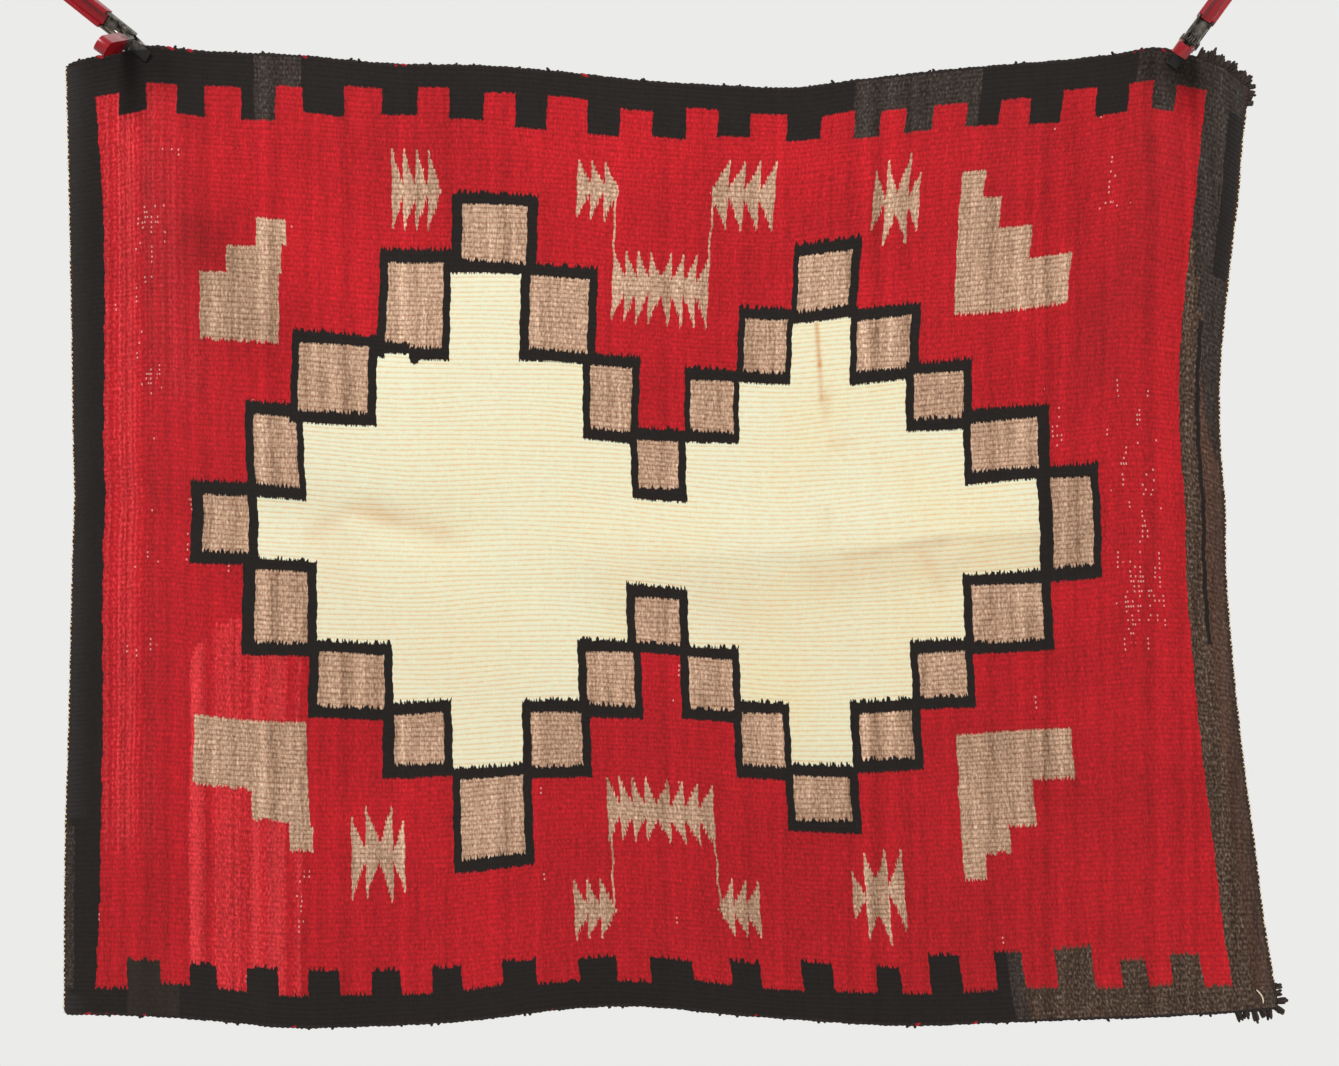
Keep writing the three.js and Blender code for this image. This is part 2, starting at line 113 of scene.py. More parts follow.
# The solid's folds: a line, how wide the fold is and how far it stands forward.
folds = {
    "old crease, right half": {"line": (-20, -510, 540, -460), "width": 42, "rise": 9},
    "old crease, left half": {"line": (-570, -452, -220, -484), "width": 34, "rise": -7},
    "pucker in the middle": {"line": (-80, -498, -30, -553), "width": 24, "rise": 5},
    "swag below the right grip": {"line": (480, -60, 385, -300), "width": 48, "rise": 12},
    "trough beside that swag": {"line": (400, -70, 300, -330), "width": 45, "rise": -7},
    "swag below the left grip": {"line": (-500, -60, -400, -380), "width": 55, "rise": 11},
    "trough down the left side": {"line": (-545, -80, -520, -660), "width": 34, "rise": -7},
    "slack top between the grips": {"line": (-230, -50, 270, -60), "width": 95, "rise": 13},
    "lower left ripple": {"line": (-360, -690, -370, -980), "width": 70, "rise": 9},
    "lower middle trough": {"line": (-30, -760, -40, -970), "width": 85, "rise": -10},
    "lower right ripple": {"line": (220, -700, 240, -980), "width": 75, "rise": 8},
    "curl of the right edge": {"line": (565, -160, 590, -900), "width": 48, "rise": 10},
    "lift of the lower right corner": {"line": (590, -940, 610, -960), "width": 60, "rise": 8},
}
# Finer creases than the solid carries, each no deeper than the cloth is thick.
creases = {
    "old crease, first part": {"line": (-10, -508, 200, -500), "width": 9, "rise": 1.2},
    "old crease, sharp part": {"line": (200, -501, 272, -487), "width": 7, "rise": 1.7},
    "its run to the right": {"line": (272, -487, 372, -483), "width": 8, "rise": 1.5},
    "pucker across it": {"line": (250, -500, 274, -545), "width": 9, "rise": -1.6},
    "second leg of the pucker": {"line": (292, -503, 262, -533), "width": 8, "rise": 1.1},
    "crease by the left square": {"line": (-310, -460, -222, -500), "width": 12, "rise": -1.8},
    "peak at its end": {"line": (-322, -479, -312, -483), "width": 10, "rise": 2.2},
    "left leg of the peak": {"line": (-358, -490, -325, -466), "width": 8, "rise": -1.2},
    "lip under it": {"line": (-315, -492, -255, -512), "width": 11, "rise": 1.5},
    "edge of the middle pucker": {"line": (-78, -512, -40, -556), "width": 9, "rise": 1.4},
    "left swag's second fold": {"line": (-440, -120, -330, -330), "width": 20, "rise": 1.8},
    "right swag's second fold": {"line": (360, -90, 250, -250), "width": 18, "rise": 1.6},
    "dent under the notch": {"line": (-60, -230, 70, -250), "width": 26, "rise": -1.6},
    "dent by the right border": {"line": (505, -330, 520, -560), "width": 16, "rise": -1.6},
}
# Places where the wefts lean to one side: how far the pattern is shifted along X.
drifts = {
    "top of the fourth square": {"line": (-310, -180, -285, -230), "width": 50, "shift": 2},
    "foot of the third square": {"line": (-320, -320, -300, -365), "width": 45, "shift": -3},
    "upper left figure": {"line": (-470, -170, -400, -290), "width": 60, "shift": 3},
    "lower left figure": {"line": (-480, -680, -360, -800), "width": 70, "shift": 3.5},
    "lower left squares": {"line": (-400, -520, -250, -700), "width": 45, "shift": 2},
    "upper right figure": {"line": (290, -130, 400, -270), "width": 70, "shift": -5},
    "last square on the right": {"line": (420, -430, 430, -520), "width": 35, "shift": -4},
    "top of the right diamond": {"line": (150, -200, 180, -260), "width": 40, "shift": -2},
    "square in the notch": {"line": (-30, -390, 0, -430), "width": 40, "shift": -2},
}
bites = [{"x": -519, "z": -10.4}, {"x": 501.2, "z": -20.9}]
biteFlat = 34
biteFade = 150


def curveThrough(rows, along, value, place):
    a = np.array([row[along] for row in rows], float)
    b = np.array([row[value] for row in rows], float)
    steps = np.arange(len(a))
    before = np.maximum(steps - 1, 0)
    after = np.minimum(steps + 1, len(a) - 1)
    slope = (b[after] - b[before]) / (a[after] - a[before])
    i = np.clip(np.searchsorted(a, place) - 1, 0, len(a) - 2)
    span = a[i + 1] - a[i]
    t = (place - a[i]) / span
    bend = 3 * t**2 - 2 * t**3
    pull = slope[i] * span * t * (1 - t) ** 2 - slope[i + 1] * span * t**2 * (1 - t)
    return b[i] + (b[i + 1] - b[i]) * bend + pull


# How much the rows of a table give at a place: each row fades away from its own line.
def nearLines(rows, amount, x, z):
    total = np.zeros_like(x)
    for row in rows.values():
        x1, z1, x2, z2 = row["line"]
        dx = x2 - x1
        dz = z2 - z1
        t = np.clip(((x - x1) * dx + (z - z1) * dz) / (dx * dx + dz * dz), 0, 1)
        off = np.hypot(x - x1 - t * dx, z - z1 - t * dz)
        total += row[amount] * np.exp(-((off / row["width"]) ** 2))
    return total


def clothPlace(u, v):
    def between(a, b, t):
        return a + (b - a) * t

    def run(rows, along, value, t):
        place = between(rows[0][along], rows[-1][along], t)
        return {along: place, value: curveThrough(rows, along, value, place)}

    top = run(topEdge, "x", "z", u)
    bottom = run(bottomEdge, "x", "z", u)
    left = run(leftEdge, "z", "x", v)
    right = run(rightEdge, "z", "x", v)
    found = {}
    for axis in ("x", "z"):
        upright = between(bottom[axis], top[axis], v)
        level = between(left[axis], right[axis], u)
        low = between(bottomEdge[0][axis], bottomEdge[-1][axis], u)
        high = between(topEdge[0][axis], topEdge[-1][axis], u)
        found[axis] = upright + level - between(low, high, v)
    x = found["x"] + nearLines(drifts, "shift", found["x"], found["z"])
    z = found["z"]
    depth = -nearLines(folds, "rise", x, z) - nearLines(creases, "rise", x, z)
    for bite in bites:
        t = np.clip((np.hypot(x - bite["x"], z - bite["z"]) - biteFlat) / (biteFade - biteFlat), 0, 1)
        depth = depth * t * t * (3 - 2 * t)
    return np.stack([x, depth, z], -1)


def clothAt(across, rib):
    across = np.asarray(across, float)
    rib = np.asarray(rib, float)
    return clothPlace(across / rug["wide"], 1 - rib / rug["ribs"])


# The weaver's chart: across in millimetres from the left end, down in ribs counted from the top.
yarns = [
    {"name": "black", "hex": "#1b1614", "mottle": 0.8},
    {"name": "faded black", "hex": "#28211b", "mottle": 1.0},
    {"name": "charcoal", "hex": "#332b26", "mottle": 3.6},
    {"name": "brown heather", "hex": "#4a352a", "mottle": 3.0},
    {"name": "grey heather", "hex": "#46372c", "mottle": 4.6},
    {"name": "red", "hex": "#a8141d", "mottle": 1.3},
    {"name": "coral", "hex": "#c63035", "mottle": 1.3},
    {"name": "tan heather", "hex": "#af9077", "mottle": 1.9},
    {"name": "cream", "hex": "#d8d9be", "mottle": 0.1},
]
yarnNumber = {yarn["name"]: i for i, yarn in enumerate(yarns)}


def yarnColour(name):
    return linear(yarns[yarnNumber[name]]["hex"])


chart = np.full((rug["ribs"], rug["wide"]), yarnNumber["red"])


def weave(yarn, across, wide, rib, ribs):
    left = int(round(across))
    chart[int(rib):int(rib + ribs), max(left, 0):int(round(across + wide))] = yarnNumber[yarn]


def weaveBlock(yarn, block):
    weave(yarn, block["across"], block["wide"], block["rib"], block["ribs"])


# Where a sloping side stands on one rib, from a few points of it.
def sideAt(rows, rib):
    return curveThrough(rows, "rib", "across", np.array(float(rib)))


# A second lot of red in the lower left, begun along a slope.
coralStart = [
    {"rib": 114, "across": 176}, {"rib": 116, "across": 150}, {"rib": 119, "across": 134},
    {"rib": 123, "across": 123}, {"rib": 130, "across": 121}, {"rib": 192, "across": 126},
]
coralEnd = 238
for rib in range(coralStart[0]["rib"], coralStart[-1]["rib"]):
    start = sideAt(coralStart, rib)
    weave("coral", start, coralEnd - start, rib, 1)

# The stepped squares that ring the two joined diamonds, each with the widths of its frame's sides.
centreRib = 96
frameRibs = 2
creamOver = 4  # cream runs on under the frames
upperSquares = [
    {"across": 121, "wide": 70, "rib": 88, "ribs": 16, "sides": (13, 10)},
    {"across": 182, "wide": 61, "rib": 71, "ribs": 19, "sides": (9, 7)},
    {"across": 229, "wide": 92, "rib": 56, "ribs": 18, "sides": (8, 9)},
    {"across": 319, "wide": 76, "rib": 38, "ribs": 22, "sides": (9, 8)},
    {"across": 395, "wide": 89, "rib": 26, "ribs": 16, "sides": (11, 11)},
    {"across": 468, "wide": 80, "rib": 40, "ribs": 20, "sides": (10, 9)},
    {"across": 535, "wide": 60, "rib": 58, "ribs": 18, "sides": (8, 8)},
    {"across": 586, "wide": 58, "rib": 73, "ribs": 15, "sides": (8, 8)},
    {"across": 642, "wide": 57, "rib": 60, "ribs": 15, "sides": (6, 6)},
    {"across": 696, "wide": 57, "rib": 46, "ribs": 16, "sides": (7, 6)},
    {"across": 751, "wide": 70, "rib": 33, "ribs": 16, "sides": (6, 9)},
    {"across": 815, "wide": 72, "rib": 48, "ribs": 15, "sides": (7, 10)},
    {"across": 874, "wide": 71, "rib": 60, "ribs": 14, "sides": (9, 9)},
    {"across": 934, "wide": 91, "rib": 71, "ribs": 15, "sides": (8, 13)},
    {"across": 1009, "wide": 68, "rib": 84, "ribs": 23, "sides": (15, 8)},
]
lowerSquares = [
    {"across": 928, "wide": 92, "rib": 105, "ribs": 16, "sides": (9, 10)},
    {"across": 870, "wide": 65, "rib": 118, "ribs": 14, "sides": (8, 8)},
    {"across": 804, "wide": 72, "rib": 130, "ribs": 14, "sides": (9, 9)},
    {"across": 734, "wide": 74, "rib": 143, "ribs": 14, "sides": (8, 9)},
    {"across": 684, "wide": 58, "rib": 130, "ribs": 16, "sides": (8, 7)},
    {"across": 631, "wide": 62, "rib": 119, "ribs": 15, "sides": (9, 8)},
    {"across": 577, "wide": 64, "rib": 107, "ribs": 14, "sides": (9, 9)},
    {"across": 525, "wide": 66, "rib": 119, "ribs": 16, "sides": (9, 8)},
    {"across": 466, "wide": 70, "rib": 132, "ribs": 16, "sides": (9, 9)},
    {"across": 393, "wide": 81, "rib": 145, "ribs": 21, "sides": (8, 9)},
    {"across": 321, "wide": 72, "rib": 131, "ribs": 15, "sides": (12, 9)},
    {"across": 246, "wide": 86, "rib": 119, "ribs": 15, "sides": (10, 9)},
    {"across": 176, "wide": 77, "rib": 103, "ribs": 19, "sides": (13, 10)},
]
for square in upperSquares[1:-1]:
    foot = square["rib"] + square["ribs"]
    creamWide = square["wide"] + 2 * creamOver
    weave("cream", square["across"] - creamOver, creamWide, foot, centreRib - foot)
for square in lowerSquares:
    creamWide = square["wide"] + 2 * creamOver
    weave("cream", square["across"] - creamOver, creamWide, centreRib, square["rib"] - centreRib)
for square in upperSquares + lowerSquares:
    near, far = square["sides"]
    tanWide = square["wide"] - near - far
    tanRibs = square["ribs"] - 2 * frameRibs
    weaveBlock("black", square)
    weave("tan heather", square["across"] + near, tanWide, square["rib"] + frameRibs, tanRibs)
# One frame steps up a rib on its way and runs over below.
frameSlips = [
    {"yarn": "cream", "across": 328, "wide": 25, "rib": 59, "ribs": 1},
    {"yarn": "black", "across": 328, "wide": 25, "rib": 57, "ribs": 1},
    {"yarn": "black", "across": 355, "wide": 8, "rib": 60, "ribs": 1},
]
for slip in frameSlips:
    weaveBlock(slip["yarn"], slip)

# Stepped figures in the four corners of the field, as blocks.
cornerBlocks = [
    {"across": 192, "wide": 31, "rib": 33, "ribs": 6},
    {"across": 161, "wide": 57, "rib": 39, "ribs": 6},
    {"across": 134, "wide": 81, "rib": 45, "ribs": 14},
    {"across": 923, "wide": 24, "rib": 21, "ribs": 30},
    {"across": 946, "wide": 21, "rib": 27, "ribs": 24},
    {"across": 967, "wide": 35, "rib": 33, "ribs": 18},
    {"across": 1002, "wide": 40, "rib": 40, "ribs": 11},
    {"across": 125, "wide": 120, "rib": 135, "ribs": 15},
    {"across": 186, "wide": 60, "rib": 150, "ribs": 6},
    {"across": 225, "wide": 24, "rib": 156, "ribs": 6},
    {"across": 911, "wide": 119, "rib": 137, "ribs": 11},
    {"across": 909, "wide": 77, "rib": 148, "ribs": 9},
    {"across": 908, "wide": 50, "rib": 157, "ribs": 6},
    {"across": 908, "wide": 23, "rib": 163, "ribs": 5},
]
for block in cornerBlocks:
    weaveBlock("tan heather", block)

# Serrated figures: rows of leaves with a straight side at the tips and a bulge to one side of it.
leafFullness = 1.12
thinnestRun = 2
leaves = [
    {"tip": 332, "step": 12.5, "count": 4, "wide": 13, "rib": 17, "ribs": 17, "side": 1},
    {"tip": 523, "step": 14, "count": 3, "wide": 15, "rib": 17, "ribs": 13, "side": 1},
    {"tip": 678, "step": 16, "count": 4, "wide": 17, "rib": 15, "ribs": 15, "side": -1},
    {"tip": 563, "step": 12.7, "count": 4, "wide": 15, "rib": 35, "ribs": 16, "side": 1},
    {"tip": 624, "step": 13, "count": 4, "wide": 15, "rib": 35, "ribs": 16, "side": -1},
    {"tip": 829, "wide": 13, "rib": 19, "ribs": 13, "side": 1},
    {"tip": 842, "wide": 15, "rib": 17, "ribs": 19, "side": 1},
    {"tip": 867, "wide": 15, "rib": 16, "ribs": 20, "side": -1},
    {"tip": 879, "wide": 13, "rib": 20, "ribs": 13, "side": -1},
    {"tip": 288, "wide": 17, "rib": 154, "ribs": 17, "side": 1},
    {"tip": 303, "wide": 17, "rib": 152, "ribs": 19, "side": 1},
    {"tip": 331, "wide": 17, "rib": 152, "ribs": 20, "side": -1},
    {"tip": 343, "wide": 14, "rib": 155, "ribs": 15, "side": -1},
    {"tip": 550, "step": 13, "count": 4, "wide": 15, "rib": 148, "ribs": 14, "side": 1},
    {"tip": 614, "step": 15, "count": 4, "wide": 17, "rib": 148, "ribs": 14, "side": -1},
    {"tip": 512, "step": 13, "count": 3, "wide": 15, "rib": 170, "ribs": 13, "side": 1},
    {"tip": 674, "step": 13, "count": 3, "wide": 15, "rib": 168, "ribs": 13, "side": -1},
    {"tip": 794, "wide": 13, "rib": 165, "ribs": 11, "side": 1},
    {"tip": 807, "wide": 17, "rib": 161, "ribs": 19, "side": 1},
    {"tip": 830, "wide": 17, "rib": 160, "ribs": 21, "side": -1},
    {"tip": 846, "wide": 16, "rib": 160, "ribs": 18, "side": -1},
]
for row in leaves:
    for k in range(row.get("count", 1)):
        tip = row["tip"] + k * row.get("step", 0)
        for i in range(row["ribs"]):
            fromMiddle = abs(2 * (i + 0.5) / row["ribs"] - 1)
            wide = max(row["wide"] * leafFullness * (1 - fromMiddle), thinnestRun)
            left = tip if row["side"] > 0 else tip - wide
            weave("tan heather", left, wide, row["rib"] + i, 1)

# Thin lines that link the serrated figures.
links = [
    {"across": 562, "end": 562, "rib": 24, "ribs": 12},
    {"across": 662, "end": 661, "rib": 23, "ribs": 13},
    {"across": 552, "end": 551, "rib": 160, "ribs": 16},
    {"across": 657, "end": 659, "rib": 160, "ribs": 14},
]
for link in links:
    for i in range(link["ribs"]):
        t = i / (link["ribs"] - 1)
        left = link["across"] + (link["end"] - link["across"]) * t
        weave("tan heather", left, thinnestRun, link["rib"] + i, 1)

# The border: a band round the field, cut into teeth along the top and bottom.
bandReach = 16  # ribs that hold a band with its teeth
leftBand = [
    {"rib": 0, "across": 27}, {"rib": 37, "across": 33}, {"rib": 91, "across": 30},
    {"rib": 167, "across": 35}, {"rib": 197, "across": 29},
]
brownedFoot = {"across": 0, "wide": 9, "rib": 158, "ribs": 34}
topTeeth = [
    {"across": 52, "wide": 28, "ribs": 13, "gap": 7}, {"across": 111, "wide": 29, "ribs": 13, "gap": 7},
    {"across": 177, "wide": 35, "ribs": 13, "gap": 6}, {"across": 240, "wide": 43, "ribs": 11, "gap": 5},
    {"across": 322, "wide": 37, "ribs": 10, "gap": 4}, {"across": 391, "wide": 35, "ribs": 11, "gap": 5},
    {"across": 458, "wide": 32, "ribs": 12, "gap": 5}, {"across": 531, "wide": 33, "ribs": 12, "gap": 6},
    {"across": 597, "wide": 34, "ribs": 11, "gap": 5}, {"across": 663, "wide": 33, "ribs": 10, "gap": 5},
    {"across": 733, "wide": 35, "ribs": 11, "gap": 6}, {"across": 802, "wide": 27, "ribs": 12, "gap": 7},
    {"across": 855, "wide": 29, "ribs": 12, "gap": 7}, {"across": 918, "wide": 34, "ribs": 12, "gap": 7},
    {"across": 983, "wide": 33, "ribs": 12, "gap": 6}, {"across": 1050, "wide": 33, "ribs": 12, "gap": 6},
    {"across": 1108, "wide": 23, "ribs": 12, "gap": 6},
]
bottomTeeth = [
    {"across": 62, "wide": 33, "ribs": 11, "gap": 6}, {"across": 125, "wide": 27, "ribs": 11, "gap": 6},
    {"across": 183, "wide": 32, "ribs": 11, "gap": 6}, {"across": 245, "wide": 31, "ribs": 11, "gap": 6},
    {"across": 307, "wide": 29, "ribs": 11, "gap": 6}, {"across": 367, "wide": 30, "ribs": 11, "gap": 6},
    {"across": 437, "wide": 34, "ribs": 11, "gap": 5}, {"across": 513, "wide": 38, "ribs": 10, "gap": 5},
    {"across": 585, "wide": 43, "ribs": 10, "gap": 6}, {"across": 666, "wide": 30, "ribs": 11, "gap": 6},
    {"across": 737, "wide": 31, "ribs": 12, "gap": 6}, {"across": 811, "wide": 24, "ribs": 12, "gap": 6},
    {"across": 864, "wide": 32, "ribs": 14, "gap": 6}, {"across": 931, "wide": 28, "ribs": 14, "gap": 6},
    {"across": 992, "wide": 37, "ribs": 14, "gap": 6}, {"across": 1056, "wide": 26, "ribs": 11, "gap": 6},
    {"across": 1106, "wide": 29, "ribs": 12, "gap": 5},
]
brownStart = 1181
rightBand = [
    {"yarn": "charcoal", "across": 1161, "wide": 39, "rib": 5, "ribs": 76},
    {"yarn": "black", "across": 1185, "wide": 15, "rib": 8, "ribs": 34},
    {"yarn": "grey heather", "across": 1161, "wide": 7, "rib": 37, "ribs": 155},
    {"yarn": "grey heather", "across": 1168, "wide": 6, "rib": 44, "ribs": 148},
    {"yarn": "grey heather", "across": 1174, "wide": 7, "rib": 51, "ribs": 141},
    {"yarn": "brown heather", "across": brownStart, "wide": 19, "rib": 81, "ribs": 111},
    {"yarn": "black", "across": 1177, "wide": 4, "rib": 53, "ribs": 67},
]
# Brown begins beside the black line and takes over from the charcoal along a slope.
brownEdge = [
    {"rib": 62, "across": 1182}, {"rib": 72, "across": 1187}, {"rib": 78, "across": 1193},
    {"rib": 81, "across": 1200},
]
# Where the weaver changed to other yarns within the bands.
topPatches = [
    {"across": 190, "wide": 48, "yarn": "charcoal"}, {"across": 800, "wide": 130, "yarn": "charcoal"},
    {"across": 1090, "wide": 110, "yarn": "charcoal"},
]
bottomPatches = [
    {"across": 62, "wide": 52, "yarn": "faded black"}, {"across": 944, "wide": 14, "yarn": "charcoal"},
    {"across": 958, "wide": 242, "yarn": "grey heather"},
]


def weaveBand(teeth, firstGap, atTop, patches):
    def lay(across, wide, ribs):
        weave("black", across, wide, 0 if atTop else rug["ribs"] - ribs, ribs)

    lay(0, teeth[0]["across"], firstGap)
    for i, tooth in enumerate(teeth):
        end = teeth[i + 1]["across"] if i + 1 < len(teeth) else rug["wide"]
        lay(tooth["across"], tooth["wide"], tooth["ribs"])
        lay(tooth["across"] + tooth["wide"], end - tooth["across"] - tooth["wide"], tooth["gap"])
    reach = slice(0, bandReach) if atTop else slice(rug["ribs"] - bandReach, rug["ribs"])
    for patch in patches:
        part = chart[reach, patch["across"]:patch["across"] + patch["wide"]]
        part[part == yarnNumber["black"]] = yarnNumber[patch["yarn"]]


weaveBand(topTeeth, firstGap=8, atTop=True, patches=topPatches)
weaveBand(bottomTeeth, firstGap=5, atTop=False, patches=bottomPatches)
for rib in range(rug["ribs"]):
    weave("black", 0, sideAt(leftBand, rib), rib, 1)
weaveBlock("charcoal", brownedFoot)
for row in rightBand:
    weaveBlock(row["yarn"], row)
for rib in range(brownEdge[0]["rib"], brownEdge[-1]["rib"]):
    weave("brown heather", brownStart, sideAt(brownEdge, rib) - brownStart, rib, 1)
print("chart woven")

# Wear and painted light and shade, as lines in the hung frame: faded places, bleached lines, stains and
# worn spots.
fadesAndShade = {
    "pale band by the left border": {"line": (-550, -60, -552, -760), "width": 18, "amount": 0.08},
    "dark band beside it": {"line": (-512, -120, -508, -900), "width": 16, "amount": -0.1},
    "pale upper left": {"line": (-455, -110, -450, -330), "width": 30, "amount": 0.1},
    "bright patch": {"line": (-370, -190, -300, -270), "width": 55, "amount": 0.12},
    "dull lower right": {"line": (40, -790, 270, -860), "width": 110, "amount": -0.13},
    "dull right side": {"line": (470, -150, 480, -880), "width": 60, "amount": -0.08},
    # Painted shadow below each grip, together with soot.
    "soot and painted shadow below the left grip": {"line": (-555, -12, -505, -20), "width": 24, "amount": -0.55},
    "soot and painted shadow below the right grip": {"line": (498, -20, 520, -26), "width": 20, "amount": -0.7},
    # Painted shade and painted light along the swags and folds.
    "shade of the left swag": {"line": (-478, -60, -468, -190), "width": 13, "amount": -0.12},
    "painted shade in the dent by the figure": {"line": (-468, -180, -455, -212), "width": 15, "amount": -0.16},
    "shade of the right swag": {"line": (402, -70, 428, -330), "width": 15, "amount": -0.18},
    "light along it": {"line": (430, -80, 444, -210), "width": 5, "amount": 0.14},
    "shade by the right border": {"line": (475, -60, 478, -260), "width": 18, "amount": -0.15},
    "shade below the last square": {"line": (372, -590, 400, -640), "width": 12, "amount": -0.16},
    "dull upper left figure": {"line": (-450, -200, -420, -280), "width": 40, "amount": -0.28},
    "dull last square": {"line": (400, -440, 400, -510), "width": 26, "amount": -0.2},
    "dull lower right figure": {"line": (300, -700, 390, -720), "width": 45, "amount": -0.13},
    "pale square, left peak": {"line": (-170, -168, -170, -204), "width": 26, "amount": 0.09},
    "pale square, right peak": {"line": (153, -205, 153, -245), "width": 24, "amount": 0.14},
    # Painted light along the top of the red field.
    "painted light below the teeth": {"line": (-120, -100, 200, -110), "width": 50, "amount": 0.12},
}
bleaches = {
    "pale lines by the left border": {"line": (-556, -50, -548, -780), "width": 22, "amount": 0.4},
    "fainter lines beside them": {"line": (-520, -60, -490, -330), "width": 24, "amount": 0.2},
}
# Stains, and painted shade along the creases and the pucker, in the same tint.
stainsAndCreaseShade = {
    "drip in the right diamond": {"line": (147, -277, 150, -318), "width": 2.2, "amount": 0.7},
    "its lower run": {"line": (150, -318, 152, -352), "width": 2.4, "amount": 0.5},
    "its fading end": {"line": (152, -352, 164, -400), "width": 4, "amount": 0.25},
    "stain and painted shade of the left crease": {"line": (-300, -462, -226, -486), "width": 14, "amount": 0.2},
    "darker start of it": {"line": (-316, -462, -276, -474), "width": 7, "amount": 0.16},
    "painted shade beside it": {"line": (-356, -486, -326, -464), "width": 9, "amount": 0.15},
    "glow left of it": {"line": (-350, -470, -330, -520), "width": 24, "amount": 0.08},
    "painted shade of the right crease": {"line": (180, -509, 268, -494), "width": 6, "amount": 0.15},
    "its right end": {"line": (268, -494, 368, -491), "width": 6, "amount": 0.12},
    "painted shade below the crease": {"line": (150, -526, 362, -510), "width": 20, "amount": 0.14},
    "painted shade in the pucker": {"line": (252, -506, 274, -546), "width": 7, "amount": 0.14},
    "spot above the crease": {"line": (152, -420, 156, -480), "width": 7, "amount": 0.12},
    "glow over the lower left": {"line": (-330, -560, -180, -640), "width": 60, "amount": 0.07},
    "glow over the lower right": {"line": (120, -560, 250, -640), "width": 70, "amount": 0.08},
    "yellowing in the middle": {"line": (-40, -520, 60, -560), "width": 40, "amount": 0.1},
}
wears = {
    "right of the last square": {"line": (462, -360, 468, -560), "width": 26, "amount": 0.5},
    "edge of the right border": {"line": (486, -440, 492, -575), "width": 7, "amount": 0.8},
    "ground left of it": {"line": (436, -340, 440, -440), "width": 8, "amount": 0.5},
    "below the last square": {"line": (440, -520, 470, -600), "width": 12, "amount": 0.5},
    "above square fourteen": {"line": (363, -325, 364, -351), "width": 8, "amount": 0.75},
    "beside square fourteen": {"line": (381, -366, 381, -400), "width": 5, "amount": 0.8},
    "left of the first square": {"line": (-478, -440, -478, -515), "width": 5, "amount": 0.7},
    "left of the last square": {"line": (-424, -515, -424, -600), "width": 5, "amount": 0.6},
    "left of the lower squares": {"line": (-528, -600, -527, -665), "width": 8, "amount": 0.6},
    "upper left corner": {"line": (-545, -60, -505, -175), "width": 24, "amount": 0.38},
    "left side, upper part": {"line": (-528, -180, -522, -330), "width": 16, "amount": 0.45},
    "left side, middle": {"line": (-530, -330, -520, -600), "width": 12, "amount": 0.36},
    "upper right": {"line": (436, -80, 440, -160), "width": 9, "amount": 0.6},
    "right of the second red": {"line": (-368, -816, -367, -884), "width": 5, "amount": 0.8},
    "under the notch": {"line": (12, -618, 12, -668), "width": 6, "amount": 0.6},
    "right side, lower part": {"line": (500, -640, 512, -700), "width": 8, "amount": 0.5},
}

# The rug's sheet. Each warp is a rib: a crest between two valleys, cut where its yarn changes.
baseStep = 25
baseRings = range(0, rug["wide"] + 1, baseStep)
# Finer steps across the cloth where a stain or a crease needs them.
fineRuns = [
    {"ribs": (48, 78), "across": (764, 790), "step": 2},
    {"ribs": (88, 112), "across": (230, 400), "step": 6},
    {"ribs": (88, 112), "across": (790, 960), "step": 6},
]
changes = [set(int(c) for c in np.flatnonzero(np.diff(row)) + 1) for row in chart]
ribRings = []
for rib in range(rug["ribs"]):
    rings = set(baseRings) | changes[rib]
    for other in (rib - 1, rib + 1):
        if 0 <= other < rug["ribs"]:
            rings |= changes[other]
    for run in fineRuns:
        if run["ribs"][0] <= rib <= run["ribs"][1]:
            rings |= set(range(*run["across"], run["step"]))
    ribRings.append(sorted(rings))

acrossList = []
downList = []
halfList = []


def addLine(rings, down, half):
    start = len(acrossList)
    acrossList.extend(rings)
    downList.extend([down] * len(rings))
    halfList.extend([half] * len(rings))
    return {ring: start + i for i, ring in enumerate(rings)}


valleys = []
crests = []
for line in range(rug["ribs"] + 1):
    above = ribRings[max(line - 1, 0)]
    below = ribRings[min(line, rug["ribs"] - 1)]
    atRim = line in (0, rug["ribs"])
    valleys.append(addLine(sorted(set(above) | set(below)), line, rug["rim" if atRim else "valley"]))
valleyCount = len(acrossList)
for rib in range(rug["ribs"]):
    crests.append(addLine(ribRings[rib], rib + 0.5, rug["crest"]))
frontCount = len(acrossList)

frontFaces = []
faceRuns = []
for rib in range(rug["ribs"]):
    high = sorted(valleys[rib])
    low = sorted(valleys[rib + 1])
    rings = ribRings[rib]
    for a, b in zip(rings, rings[1:]):
        crestRun = [crests[rib][a], crests[rib][b]]
        highRun = [valleys[rib][s] for s in reversed(high) if a <= s <= b]
        lowRun = [valleys[rib + 1][s] for s in low if a <= s <= b]
        frontFaces.append(crestRun + highRun)
        frontFaces.append(lowRun + crestRun[::-1])
        faceRuns.extend([(rib, a), (rib, a)])
backFaces = [[i + frontCount for i in reversed(face)] for face in frontFaces]

rimFaces = []
rimRuns = []
for line, rib in ((0, 0), (rug["ribs"], rug["ribs"] - 1)):
    ringList = sorted(valleys[line])
    for a, b in zip(ringList, ringList[1:]):
        i = valleys[line][a]
        j = valleys[line][b]
        face = [i, j, j + frontCount, i + frontCount]
        rimFaces.append(face if line == 0 else face[::-1])
        rimRuns.append((rib, a))
levelRimCount = len(rimFaces)
for end in (0, rug["wide"]):
    for rib in range(rug["ribs"]):
        column = [valleys[rib][end], crests[rib][end], valleys[rib + 1][end]]
        face = [column[0]] + [i + frontCount for i in column] + [column[2], column[1]]
        rimFaces.append(face if end == 0 else face[::-1])
        rimRuns.append((rib, min(end, rug["wide"] - 1)))

